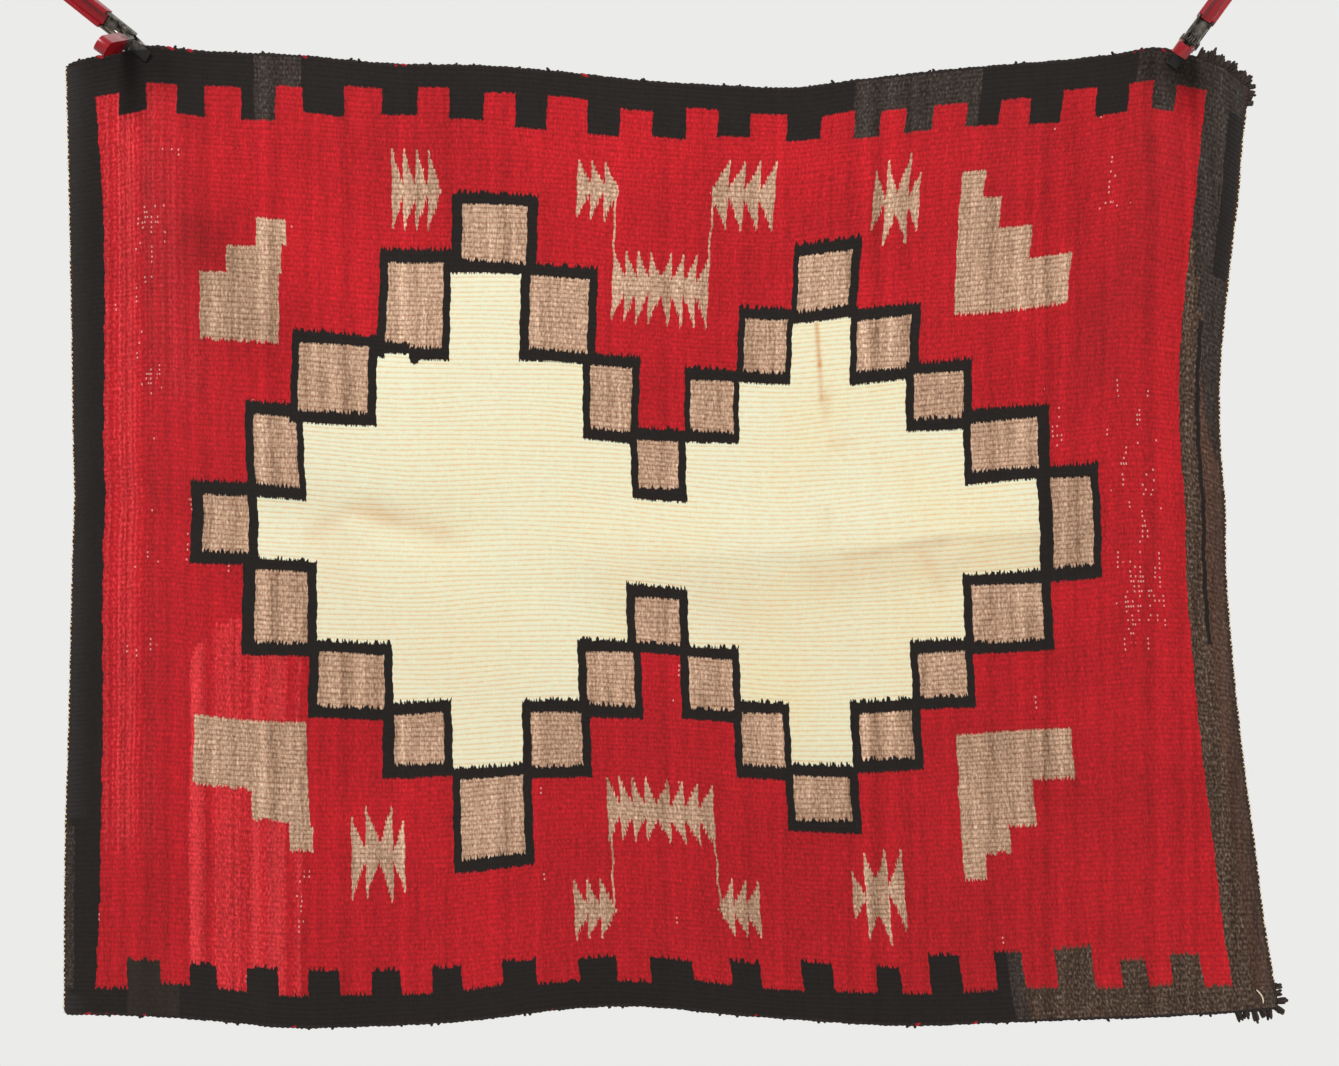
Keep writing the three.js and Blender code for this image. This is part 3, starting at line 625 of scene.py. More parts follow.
# Ribs wander a little, and no two runs of yarn end quite in line. Both calm down towards the edges.
calmAcross = 20
calmRibs = 3
across = np.array(acrossList, float)
down = np.array(downList, float)
half = np.array(halfList, float)
inside = np.minimum(np.minimum(across, rug["wide"] - across) / calmAcross, 1)
level = np.minimum(np.minimum(down, rug["ribs"] - down) / calmRibs, 1)
wander = 0.2 * np.sin(across / 61 + down * 0.31) + 0.17 * np.sin(across / 27 - down * 0.47 + 2)
ragged = 0.3 * np.sin(down * 2.9 + across * 0.37) + 0.45 * np.sin(down * 0.83 - across * 0.11)
middle = clothAt(across + ragged * inside, down + wander * level)
thickness = half[:, None] * np.array([0, 1, 0])
front = middle - thickness
back = middle + thickness
x = middle[:, 0]
z = middle[:, 2]

rugFaces = frontFaces + backFaces + rimFaces
allRuns = faceRuns + faceRuns + rimRuns
yarnColours = np.array([linear(yarn["hex"], yarn["mottle"]) for yarn in yarns])
own = np.array([chart[rib, a] for rib, a in allRuns])
lower = np.array([chart[min(rib + 1, rug["ribs"] - 1), a] for rib, a in allRuns])
upper = np.array([chart[max(rib - 1, 0), a] for rib, a in allRuns])
# Darker wefts dovetail over the edge of the lighter ones beside them.
upper = np.minimum(upper, own)
lower = np.minimum(lower, own)


# Patterns over the weave: length along the weft in millimetres, and steps of the noise for each rib.
weavePatterns = {
    "tooth": {"over": "ribs", "long": 2.2, "perRib": 5.7, "detail": 2},
    "fleck": {"over": "weave", "long": 2, "perRib": 1.25, "detail": 2},
    "float": {"over": "ribs", "long": 1.5, "perRib": 7.3, "detail": 1},
    "streak": {"over": "weave", "long": 3.2, "perRib": 0.125, "detail": 2},
    "groove": {"over": "grooves", "long": 7, "perRib": 5.3, "detail": 2},
}
# Upright patterns of the hung cloth, by their width in millimetres.
uprightPatterns = {
    "stripe": {"wide": 16.667, "detail": 6, "rough": 0.62},
    "paleLine": {"wide": 4.348, "detail": 3, "rough": 0.5},
    "abrash": {"wide": 14.286, "detail": 1, "rough": 0.5},
}
# Other sizes in millimetres, and how strong a worn dot is.
woolLook = {"patch": 142.86, "fuzz": 1.1111, "nap": 0.4, "wornPick": 2.4, "dotShare": 0.4}
woolTints = {"bleached red": "#cf4a4c", "stainAndShade": "#c08b50", "cotton": "#f0d8cc"}


# Wool: matt, fuzzy tapestry weave. Each float of yarn is its own shade, heathers are flecked along
# the weft, colour edges along a rib interlock like a comb, and white cotton shows where it is worn.
def weftWool():
    material, tree, surface = startMaterial("weft faced wool", {
        "Roughness": 0.95, "Specular IOR Level": 0.15, "Sheen Weight": 0.1, "Sheen Roughness": 0.6,
    })
    weaveAt = addNode(tree, "Attribute", attribute_name="weave").outputs["Vector"]
    place = addNode(tree, "SeparateXYZ", {"Vector": weaveAt})
    along = place.outputs["X"]
    rib = addNode(tree, "Math", {0: place.outputs["Y"]}, operation="FLOOR")
    inRib = addNode(tree, "Math", {0: place.outputs["Y"]}, operation="FRACT")
    restOfRib = addNode(tree, "Math", {0: 1.0, 1: inRib}, operation="SUBTRACT")
    grooveLine = addNode(tree, "Math", {0: place.outputs["Y"]}, operation="ROUND")
    objectAt = addNode(tree, "TexCoord").outputs["Object"]
    objectX = addNode(tree, "SeparateXYZ", {0: objectAt})

    places = {
        "weave": weaveAt,
        "ribs": addNode(tree, "CombineXYZ", {"X": along, "Y": rib}),
        "grooves": addNode(tree, "CombineXYZ", {"X": along, "Y": grooveLine}),
    }
    tones = {}
    for name, pattern in weavePatterns.items():
        stretch = (1 / pattern["long"], pattern["perRib"], 0)
        at = addNode(tree, "VectorMath", {0: places[pattern["over"]], 1: stretch}, operation="MULTIPLY")
        sockets = {"Vector": at, "Scale": 1, "Detail": pattern["detail"]}
        tones[name] = addNode(tree, "TexNoise", sockets, noise_dimensions="2D")
    for name, pattern in uprightPatterns.items():
        sockets = {"W": objectX, "Scale": 1 / (pattern["wide"] * mm), "Detail": pattern["detail"]}
        sockets["Roughness"] = pattern["rough"]
        tones[name] = addNode(tree, "TexNoise", sockets, noise_dimensions="1D")

    # Yarn from the ribs above and below reaches into a rib in teeth of uneven length.
    toothLength = addNode(tree, "MapRange", {0: tones["tooth"], 1: 0.36, 2: 0.66})
    fromAbove = addNode(tree, "Math", {0: toothLength, 1: inRib}, operation="GREATER_THAN")
    fromBelow = addNode(tree, "Math", {0: toothLength, 1: restOfRib}, operation="GREATER_THAN")
    yarn = addNode(tree, "Attribute", attribute_name="yarn")
    yarnAbove = addNode(tree, "Attribute", attribute_name="yarnAbove")
    yarnBelow = addNode(tree, "Attribute", attribute_name="yarnBelow")
    mottle = yarn.outputs["Alpha"]
    colour = addNode(tree, "MixRGB", {0: fromAbove, 1: yarn, 2: yarnAbove})
    colour = addNode(tree, "MixRGB", {0: fromBelow, 1: colour, 2: yarnBelow})
    shares = addNode(tree, "SeparateColor", {0: colour})
    green = shares.outputs[1]
    redder = addNode(tree, "Math", {0: shares, 1: green}, operation="SUBTRACT")
    isRed = addNode(tree, "Math", {0: redder, 1: 0.22}, operation="GREATER_THAN")
    pinker = addNode(tree, "Math", {0: green, 1: 0.02}, operation="GREATER_THAN")
    isCoral = addNode(tree, "Math", {0: pinker, 1: isRed}, operation="MULTIPLY")
    isPale = addNode(tree, "MapRange", {0: green, 1: 0.35, 2: 0.65})

    # The second lot of red varies in upright flecked stripes, and so do the bleached lines on the left.
    fleckSwing = addNode(tree, "Math", {0: tones["fleck"], 1: 0.5}, operation="SUBTRACT")
    stripe = addNode(tree, "Math", {0: fleckSwing, 1: 0.28, 2: tones["stripe"]}, operation="MULTIPLY_ADD")
    redStripe = addNode(tree, "MapRange", {0: stripe, 1: 0.4, 2: 0.6, 3: 1.0, 4: 0.0})
    redShare = addNode(tree, "Math", {0: redStripe, 1: isCoral}, operation="MULTIPLY")
    colour = addNode(tree, "MixRGB", {0: redShare, 1: colour, 2: yarnColour("red")})
    line = addNode(tree, "Math", {0: fleckSwing, 1: 0.4, 2: tones["paleLine"]}, operation="MULTIPLY_ADD")
    bleachLine = addNode(tree, "MapRange", {0: line, 1: 0.45, 2: 0.6})
    bleach = addNode(tree, "Attribute", attribute_name="bleach").outputs["Fac"]
    bleachShare = addNode(tree, "Math", {0: bleach, 1: bleachLine}, operation="MULTIPLY")
    bleachShare = addNode(tree, "Math", {0: bleachShare, 1: isRed}, operation="MULTIPLY")
    colour = addNode(tree, "MixRGB", {0: bleachShare, 1: colour, 2: linear(woolTints["bleached red"])})
    # Stain tint, which also paints shade along the creases, on the cream only.
    stainAndShade = addNode(tree, "Attribute", attribute_name="stainAndShade").outputs["Fac"]
    stainAndShadeShare = addNode(tree, "Math", {0: stainAndShade, 1: isPale}, operation="MULTIPLY")
    colour = addNode(tree, "MixRGB", {0: stainAndShadeShare, 1: colour, 2: linear(woolTints["stainAndShade"])})

    # Picks are 1.2 mm; their shades and flecks are drawn a little coarser so that they show.
    calm = addNode(tree, "MapRange", {0: isPale, 3: 1.0, 4: 0.1})
    floatSwing = addNode(tree, "MapRange", {0: tones["float"], 1: 0.25, 2: 0.75, 3: -0.17, 4: 0.17})
    streakOff = addNode(tree, "Math", {0: tones["streak"], 1: 0.5}, operation="SUBTRACT")
    abrashOff = addNode(tree, "Math", {0: tones["abrash"], 1: 0.5}, operation="SUBTRACT")
    streakSum = addNode(tree, "Math", {0: abrashOff, 1: 1.1, 2: streakOff}, operation="MULTIPLY_ADD")
    streakReach = addNode(tree, "MapRange", {0: mottle, 1: 0.9, 2: 1.9, 3: 0.24, 4: 0.9})
    streakSwing = addNode(tree, "Math", {0: streakSum, 1: streakReach}, operation="MULTIPLY")
    patchScale = 1 / (woolLook["patch"] * mm)
    patches = addNode(tree, "TexNoise", {"Vector": objectAt, "Scale": patchScale, "Detail": 3})
    patchSwing = addNode(tree, "MapRange", {0: patches, 1: 0.35, 2: 0.65, 3: -0.08, 4: 0.08})
    pickSwing = addNode(tree, "Math", {0: floatSwing, 1: streakSwing}, operation="ADD")
    pickSwing = addNode(tree, "Math", {0: pickSwing, 1: patchSwing}, operation="ADD")
    pickShade = addNode(tree, "Math", {0: pickSwing, 1: calm, 2: 1.0}, operation="MULTIPLY_ADD")
    fleckShare = addNode(tree, "Math", {0: fleckSwing, 1: mottle}, operation="MULTIPLY")
    fleckShade = addNode(tree, "Math", {0: fleckShare}, operation="EXPONENT")
    # Faded tone, with painted shade and light of the folds and painted shadow below the grips.
    fadeAndShade = addNode(tree, "Attribute", attribute_name="fadeAndShade").outputs["Fac"]
    fadeAndShadeFactor = addNode(tree, "Math", {0: fadeAndShade, 1: 1.0}, operation="ADD")
    shade = addNode(tree, "Math", {0: pickShade, 1: fleckShade}, operation="MULTIPLY")
    shade = addNode(tree, "Math", {0: shade, 1: fadeAndShadeFactor}, operation="MULTIPLY")
    # Pale fibres lean to cream and dark ones to brown.
    shadeRed = addNode(tree, "Math", {0: shade, 1: 0.88}, operation="POWER")
    shadeBlue = addNode(tree, "Math", {0: shade, 1: 1.12}, operation="POWER")
    shadeParts = addNode(tree, "CombineXYZ", {"X": shadeRed, "Y": shade, "Z": shadeBlue})
    colour = addNode(tree, "VectorMath", {0: colour, 1: shadeParts}, operation="MULTIPLY")

    # Grooves between the ribs hold shade: deep in the dark yarns, a warm glow in the cream.
    acrossRib = addNode(tree, "Math", {0: inRib, 1: 2.0, 2: -1.0}, operation="MULTIPLY_ADD")
    fromCrest = addNode(tree, "Math", {0: acrossRib}, operation="ABSOLUTE")
    grooveDepth = addNode(tree, "Math", {0: fromCrest, 1: 2.5}, operation="POWER")
    grooveShare = addNode(tree, "MapRange", {0: tones["groove"], 1: 0.3, 2: 0.7, 3: 0.45, 4: 1.2})
    grooveReach = addNode(tree, "MapRange", {0: mottle, 1: 0.8, 2: 1.9, 3: 0.3, 4: 1.0})
    grooveReach = addNode(tree, "Math", {0: grooveReach, 1: isPale}, operation="MAXIMUM")
    groove = addNode(tree, "Math", {0: grooveDepth, 1: grooveShare}, operation="MULTIPLY")
    groove = addNode(tree, "Math", {0: groove, 1: grooveReach}, operation="MULTIPLY")
    grooveHue = addNode(tree, "MixRGB", {0: isPale, 1: (0.65, 0.49, 0.47, 1), 2: (1, 0.69, 0.53, 1)})
    grooveTint = addNode(tree, "MixRGB", {0: groove, 1: (1, 1, 1, 1), 2: grooveHue})
    warmPatch = addNode(tree, "MapRange", {0: patches, 1: 0.38, 2: 0.66})
    warmSide = addNode(tree, "MapRange", {0: objectX, 1: -0.3, 2: 0.1, 3: 0.25, 4: 1.0})
    warmShare = addNode(tree, "Math", {0: warmPatch, 1: isPale}, operation="MULTIPLY")
    warmShare = addNode(tree, "Math", {0: warmShare, 1: warmSide}, operation="MULTIPLY")
    warmTint = addNode(tree, "MixRGB", {0: warmShare, 1: (1, 1, 1, 1), 2: (1, 0.95, 0.86, 1)})
    for tint in (grooveTint, warmTint):
        colour = addNode(tree, "MixRGB", {0: 1.0, 1: colour, 2: tint}, blend_type="MULTIPLY")

    # Cotton warp shows as dots down a thin pick, in broken upright lines.
    pickStep = addNode(tree, "Math", {0: along, 1: woolLook["wornPick"]}, operation="DIVIDE")
    pickNumber = addNode(tree, "Math", {0: pickStep}, operation="FLOOR")
    pickCell = addNode(tree, "CombineXYZ", {"X": pickNumber, "Y": rib})
    lineAt = addNode(tree, "VectorMath", {0: pickCell, 1: (7.31, 0.11, 0)}, operation="MULTIPLY")
    sockets = {"Vector": lineAt, "Scale": 1, "Detail": 1}
    thinPick = addNode(tree, "TexNoise", sockets, noise_dimensions="2D")
    wear = addNode(tree, "Attribute", attribute_name="wear").outputs["Fac"]
    thinLimit = addNode(tree, "Math", {0: wear, 1: -0.46, 2: 0.83}, operation="MULTIPLY_ADD")
    isThin = addNode(tree, "Math", {0: thinPick, 1: thinLimit}, operation="GREATER_THAN")
    dotChance = addNode(tree, "TexWhiteNoise", {"Vector": pickCell, "W": 7.0}, noise_dimensions="4D")
    isDot = addNode(tree, "Math", {0: dotChance, 1: 0.62}, operation="LESS_THAN")
    onCrest = addNode(tree, "Math", {0: fromCrest, 1: 0.4}, operation="LESS_THAN")
    inPick = addNode(tree, "Math", {0: pickStep}, operation="FRACT")
    onPick = addNode(tree, "Math", {0: inPick, 1: 0.55}, operation="LESS_THAN")
    dot = isThin
    for part in (isDot, onPick, onCrest, isRed, woolLook["dotShare"]):
        dot = addNode(tree, "Math", {0: dot, 1: part}, operation="MULTIPLY")
    colour = addNode(tree, "MixRGB", {0: dot, 1: colour, 2: linear(woolTints["cotton"])})

    fuzzScale = 1 / (woolLook["fuzz"] * mm)
    fuzz = addNode(tree, "TexNoise", {"Vector": objectAt, "Scale": fuzzScale, "Detail": 2})
    height = addNode(tree, "Math", {0: tones["float"], 1: fuzz}, operation="ADD")
    bump = addNode(tree, "Bump", {"Strength": 0.35, "Distance": woolLook["nap"] * mm, "Height": height})
    tree.links.new(colour.outputs[0], surface.inputs["Base Color"])
    tree.links.new(bump.outputs[0], surface.inputs["Normal"])
    return material


wool = weftWool()
rugSheet = addPiece("rug_sheet", np.concatenate([front, back]) * mm, rugFaces, wool)
mesh = rugSheet.data
for name, numbers in (("yarn", own), ("yarnAbove", upper), ("yarnBelow", lower)):
    setColour(mesh, name, "FACE", yarnColours[numbers])
weavePlaces = np.stack([across, down, np.zeros_like(across)], -1)
attribute = mesh.attributes.new("weave", "FLOAT_VECTOR", "POINT")
bothFaces = np.concatenate([weavePlaces, weavePlaces]).astype(np.float32)
attribute.data.foreach_set("vector", bothFaces.ravel())
for name, rows in (("fadeAndShade", fadesAndShade), ("bleach", bleaches), ("stainAndShade", stainsAndCreaseShade), ("wear", wears)):
    values = nearLines(rows, "amount", x, z)
    attribute = mesh.attributes.new(name, "FLOAT", "POINT")
    attribute.data.foreach_set("value", np.concatenate([values, values]).astype(np.float32))
edgeEnds = np.zeros(len(mesh.edges) * 2, np.int32)
mesh.edges.foreach_get("vertices", edgeEnds)
alongValley = ((edgeEnds.reshape(-1, 2) % frontCount) < valleyCount).all(1)
sharp = mesh.attributes.new("sharp_edge", "BOOLEAN", "EDGE")
sharp.data.foreach_set("value", alongValley)
mesh.validate()
mesh.update()
print("rug sheet", len(mesh.polygons), "faces")

# Its map: the front face on the left half of the square, the back on the right, the rim between.
sheetMap = {"wide": 0.48, "back": 0.52, "foot": 0.03, "tall": 0.94, "rim": 0.008}
rimMap = {"top": 0.98, "foot": 0.01, "left": 0.485, "right": 0.505}
loopVertex = np.zeros(len(mesh.loops), np.int32)
mesh.loops.foreach_get("vertex_index", loopVertex)
loopTotal = np.array([len(face) for face in rugFaces])
faceKind = np.zeros(len(rugFaces), int)
faceKind[len(frontFaces):] = 1
faceKind[2 * len(frontFaces):] = 2
faceKind[2 * len(frontFaces) + levelRimCount:] = 3
loopKind = np.repeat(faceKind, loopTotal)
loopAcross = across[loopVertex % frontCount] / rug["wide"]
loopDown = down[loopVertex % frontCount] / rug["ribs"]
onBack = loopVertex >= frontCount
mapU = sheetMap["wide"] * loopAcross + sheetMap["back"] * (loopKind == 1)
mapV = sheetMap["foot"] + sheetMap["tall"] * (1 - loopDown)
rimV = np.where(loopDown < 0.5, rimMap["top"], rimMap["foot"]) + sheetMap["rim"] * onBack
rimU = np.where(loopAcross < 0.5, rimMap["left"], rimMap["right"]) + sheetMap["rim"] * onBack
mapV = np.where(loopKind == 2, rimV, mapV)
mapU = np.where(loopKind == 3, rimU, mapU)
rugMap = mesh.uv_layers.new(name="sheet")
rugMap.data.foreach_set("uv", np.stack([mapU, mapV], -1).astype(np.float32).ravel())


yarnSides = 6


# Round yarn along a run of points, with a radius at each point and closed ends.
def yarnTube(points, radii):
    points = np.asarray(points, float)
    count = len(points)
    run = np.gradient(points, axis=0)
    run /= np.linalg.norm(run, axis=1)[:, None]
    spare = np.where(np.abs(run[:, 1:2]) < 0.9, [[0, 1, 0]], [[1, 0, 0]])
    first = np.cross(run, spare)
    first /= np.linalg.norm(first, axis=1)[:, None]
    second = np.cross(run, first)
    turn = np.arange(yarnSides) * 2 * math.pi / yarnSides
    ring = first[:, None] * np.cos(turn)[None, :, None] + second[:, None] * np.sin(turn)[None, :, None]
    places = (points[:, None] + ring * np.asarray(radii)[:, None, None]).reshape(-1, 3)
    faces = []
    for i in range(count - 1):
        here = i * yarnSides
        there = here + yarnSides
        for k in range(yarnSides):
            n = (k + 1) % yarnSides
            faces.append([here + k, here + n, there + n, there + k])
    faces.append(list(range(yarnSides))[::-1])
    faces.append(list(range((count - 1) * yarnSides, count * yarnSides)))
    return places, faces


# Yarns that make one piece, each with a colour of its own or one for each of its places.
class Gathered:
    def __init__(self):
        self.places = []
        self.faces = []
        self.colours = []
        self.count = 0

    def add(self, points, radii, colour):
        places, faces = yarnTube(points, radii)
        self.places.append(places)
        self.faces.extend([[i + self.count for i in face] for face in faces])
        if np.ndim(colour) == 1:
            colour = np.tile(colour, (len(places), 1))
        self.colours.append(colour)
        self.count += len(places)

    def piece(self, name, material):
        made = addPiece(name, np.concatenate(self.places) * mm, self.faces, material)
        setColour(made.data, "yarn", "POINT", np.concatenate(self.colours))
        return made


spunLook = {"shade": 2.381, "fuzz": 0.6667, "nap": 0.4}  # millimetres


# Spun yarn: matt, with a fine twist that catches light along the strand.
def spunYarn():
    material, tree, surface = startMaterial("spun edge yarn", {
        "Roughness": 0.9, "Specular IOR Level": 0.2,
    })
    yarn = addNode(tree, "Attribute", attribute_name="yarn")
    objectAt = addNode(tree, "TexCoord").outputs["Object"]
    shadeScale = 1 / (spunLook["shade"] * mm)
    shadeNoise = addNode(tree, "TexNoise", {"Vector": objectAt, "Scale": shadeScale, "Detail": 3})
    shade = addNode(tree, "MapRange", {0: shadeNoise, 1: 0.3, 2: 0.7, 3: 0.75, 4: 1.2})
    colour = addNode(tree, "VectorMath", {0: yarn, "Scale": shade}, operation="SCALE")
    fuzzScale = 1 / (spunLook["fuzz"] * mm)
    fuzz = addNode(tree, "TexNoise", {"Vector": objectAt, "Scale": fuzzScale, "Detail": 2})
    bump = addNode(tree, "Bump", {"Strength": 0.5, "Distance": spunLook["nap"] * mm, "Height": fuzz})
    tree.links.new(colour.outputs[0], surface.inputs["Base Color"])
    tree.links.new(bump.outputs[0], surface.inputs["Normal"])
    return material


edgeYarn = spunYarn()
cordHexes = {
    "black": "#2a2422", "brown": "#3b2b23", "smoke": "#332b27", "red": "#9c1a24", "cream": "#dccfb0",
}
cordColours = {name: np.array(linear(hexCode)) for name, hexCode in cordHexes.items()}
edgeCord = {"strand": 1.5, "lay": 0.9, "twist": 11, "step": 1.6, "inset": 0.4}


# Two strands twined along an edge of the cloth, where outward points away from it.
def twine(gathered, places, outward, reds, plain):
    length = np.concatenate([[0], np.cumsum(np.linalg.norm(np.diff(places, axis=0), axis=1))])
    through = np.array([0, -1, 0])
    uneven = 2 * np.sin(length / 37) + np.sin(length / 13)
    for k in range(2):
        turn = 2 * math.pi * length / edgeCord["twist"] + k * math.pi + uneven
        swing = outward * np.cos(turn)[:, None] + through * np.sin(turn)[:, None]
        lumps = 0.14 * np.sin(length / 17 + k * 2) + 0.16 * np.sin(length / 5.3 + 3 * np.sin(length / 71))
        colour = np.tile(plain, (len(places), 1))
        for red in reds:
            if red["strand"] == k:
                inRun = (length > red["at"]) & (length < red["at"] + red["long"])
                colour[inRun] = cordColours["red"]
        thick = edgeCord["strand"] * (1 + lumps)
        gathered.add(places + swing * edgeCord["lay"], thick, np.repeat(colour, yarnSides, axis=0))


# Red yarn ends that show in the top and bottom cords, by their distance from the left end.
topReds = [
    {"at": 30, "long": 9, "strand": 0}, {"at": 96, "long": 13, "strand": 1},
    {"at": 118, "long": 8, "strand": 0}, {"at": 236, "long": 7, "strand": 1},
    {"at": 331, "long": 11, "strand": 0}, {"at": 517, "long": 6, "strand": 1},
    {"at": 1072, "long": 10, "strand": 0}, {"at": 1100, "long": 14, "strand": 1},
]
bottomReds = [
    {"at": 14, "long": 15, "strand": 0}, {"at": 40, "long": 7, "strand": 1},
    {"at": 76, "long": 5, "strand": 0}, {"at": 225, "long": 6, "strand": 1},
    {"at": 486, "long": 5, "strand": 0}, {"at": 690, "long": 6, "strand": 1},
    {"at": 846, "long": 8, "strand": 0}, {"at": 905, "long": 9, "strand": 1},
]
# Small ends stand out of the cord here and there.
looseEnds = {"count": 64, "first": 12, "step": 18.2, "stray": 7, "reach": 2.4, "vary": 1.3, "thick": 1.5}
looseRun = np.array([0, 0.5, 0.85, 1])
looseTaper = np.array([1, 1, 0.8, 0.4])
levelCount = int(rug["wide"] / edgeCord["step"])
acrossRun = np.linspace(2, rug["wide"] - 2, levelCount)
selvages = Gathered()
for rib, reds, up in ((0, topReds, 1), (rug["ribs"], bottomReds, -1)):
    places = clothAt(acrossRun, np.full(levelCount, float(rib)))
    outward = np.tile([0, 0, up], (levelCount, 1))
    twine(selvages, places - outward * edgeCord["inset"], outward, reds, cordColours["black"])
    for k in range(looseEnds["count"]):
        at = looseEnds["first"] + k * looseEnds["step"] + looseEnds["stray"] * math.sin(k * 2.7)
        root = clothAt(np.array([at]), np.array([float(rib)]))[0]
        root[1] += 1.2 * math.sin(k * 1.9)
        lean = np.array([0.9 * math.sin(k * 4.3), 0.3 * math.sin(k * 3.1), up])
        reach = looseEnds["reach"] + looseEnds["vary"] * math.sin(k * 5.1 + up)
        points = root + np.outer(looseRun, lean * reach)
        selvages.add(points, looseEnds["thick"] * looseTaper, cordColours["black"])
selvageCords = selvages.piece("selvage_cords", edgeYarn)

# The warps' turns show as a pale bead at each rib, up to the frayed corners.
warpTurn = {"size": 1.05, "vary": 0.3, "slack": 0.5, "out": 0.7, "forward": 2.4, "half": 0.9}
turnTaper = np.array([0.45, 1, 1, 0.45])
frayedRibs = 6
endCount = int(rug["tall"] / edgeCord["step"])
ribRun = np.linspace(0.2, rug["ribs"] - 0.2, endCount)
ends = Gathered()
for end, side in ((0, -1), (rug["wide"], 1)):
    places = clothAt(np.full(endCount, float(end)), ribRun)
    outward = np.tile([side, 0, 0], (endCount, 1))
    twine(ends, places - outward * edgeCord["inset"], outward, [], cordColours["brown"])
    firstBead = frayedRibs if side > 0 else 0
    crestRibs = np.arange(firstBead, rug["ribs"] - firstBead) + 0.5
    beadRun = np.linspace(-warpTurn["half"], warpTurn["half"], len(turnTaper))
    beadWay = np.array([side * 0.9, 0.35, 0.25])
    for i, place in enumerate(clothAt(np.full(len(crestRibs), float(end)), crestRibs)):
        size = warpTurn["size"] + warpTurn["vary"] * math.sin(i * 2.3 + side)
        slack = warpTurn["slack"] * math.sin(i * 1.7 + 2 * side)
        out = warpTurn["out"] + 0.5 * slack
        bead = place + np.array([side * out, -warpTurn["forward"], slack]) + np.outer(beadRun, beadWay)
        ends.add(bead, size * turnTaper, cordColours["cream"])
endCords = ends.piece("end_cords", edgeYarn)

# Frayed right-hand corners: bundles of broken weft ends standing out round each corner.
frayCorners = [
    {"node": "top_right_fray", "rib": 0, "from": 0.957, "turn": 4.0, "tufts": 15},
    {"node": "bottom_right_fray", "rib": rug["ribs"], "from": 0.965, "turn": 5.5, "tufts": 9},
]
frayStrand = {"perTuft": 7, "length": 10, "thick": 1.5, "bend": 0.5}
cornerStart = 0.7  # past this share of the way round, strands get shorter
cornerCut = 0.65
tangentReach = 3
strandRun = np.array([0, 0.3, 0.65, 0.88, 1])[:, None]
strandTaper = np.array([0.9, 1.0, 1.1, 0.9, 0.45])
strandRoot = np.array([1.6, 1.0, 1.6])
strandTurns = np.array([2.1, 3.7, 5.3])
tuftTurns = np.array([1, 1.3, 0.7])
# One pale thread hangs across the lower corner.
paleThread = {
    "across": 1182, "rib": 192.5, "forward": 2.6, "fall": (6, -0.6, -13), "bow": 2.5, "thick": 0.7,
}
threadRun = np.linspace(0, 1, 6)[:, None]
acrossCount = 30
turnCount = 12
for corner in frayCorners:
    up = 1 if corner["rib"] == 0 else -1
    alongCorner = np.linspace(corner["from"] * rug["wide"], rug["wide"], acrossCount)
    downCorner = corner["rib"] + up * np.linspace(0, corner["turn"], turnCount)[1:]
    route = np.concatenate([
        clothAt(alongCorner, np.full(acrossCount, float(corner["rib"]))),
        clothAt(np.full(turnCount - 1, float(rug["wide"])), downCorner),
    ])
    lengths = np.concatenate([[0], np.cumsum(np.linalg.norm(np.diff(route, axis=0), axis=1))])
    tufts = Gathered()
    for k in range(corner["tufts"]):
        at = lengths[-1] * (k + 0.5) / corner["tufts"]
        behind, root, ahead = [
            np.array([np.interp(spot, lengths, route[:, axis]) for axis in range(3)])
            for spot in (at - tangentReach, at, at + tangentReach)
        ]
        run = ahead - behind
        away = np.array([-run[2], 0, run[0]]) * up
        away /= np.linalg.norm(away)
        away += np.array([0.2 + 0.25 * math.sin(k * 2.4 + 1), 0.3 * math.sin(k * 1.7 + 1), 0])
        away /= np.linalg.norm(away)
        past = max(k / corner["tufts"] - cornerStart, 0) / (1 - cornerStart)
        long = frayStrand["length"] * (1 + 0.25 * math.sin(k * 3.1 + 1)) * (1 - cornerCut * past)
        for n in range(frayStrand["perTuft"]):
            spread = np.sin(n * strandTurns + k * tuftTurns)
            reach = long * (0.85 + 0.12 * math.sin(n * 4.1 + k))
            bend = spread * (frayStrand["bend"] * strandRun**2)
            points = root + spread * strandRoot + away * reach * strandRun + bend
            shade = 1 + 0.35 * math.sin(n * 1.9 + k)
            tufts.add(points, frayStrand["thick"] * strandTaper, cordColours["smoke"] * shade)
    if up < 0:
        start = clothAt(np.array([paleThread["across"]]), np.array([paleThread["rib"]]))[0]
        start[1] -= paleThread["forward"]
        bow = np.array([paleThread["bow"], 0, 0]) * np.sin(threadRun * 3)
        points = start + np.array(paleThread["fall"]) * threadRun + bow
        tufts.add(points, np.full(len(points), paleThread["thick"]), cordColours["cream"])
    fray = tufts.piece(corner["node"] + "_tufts", edgeYarn)
    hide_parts(corner["node"])

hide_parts("rug")
print("cords and frays")


steelLook = {"grime": 6.25, "plate": "#8e8980", "dirt": "#38322c", "jawBlackAndShade": "#0d0b0a", "jawShadeTop": (-5, 3)}
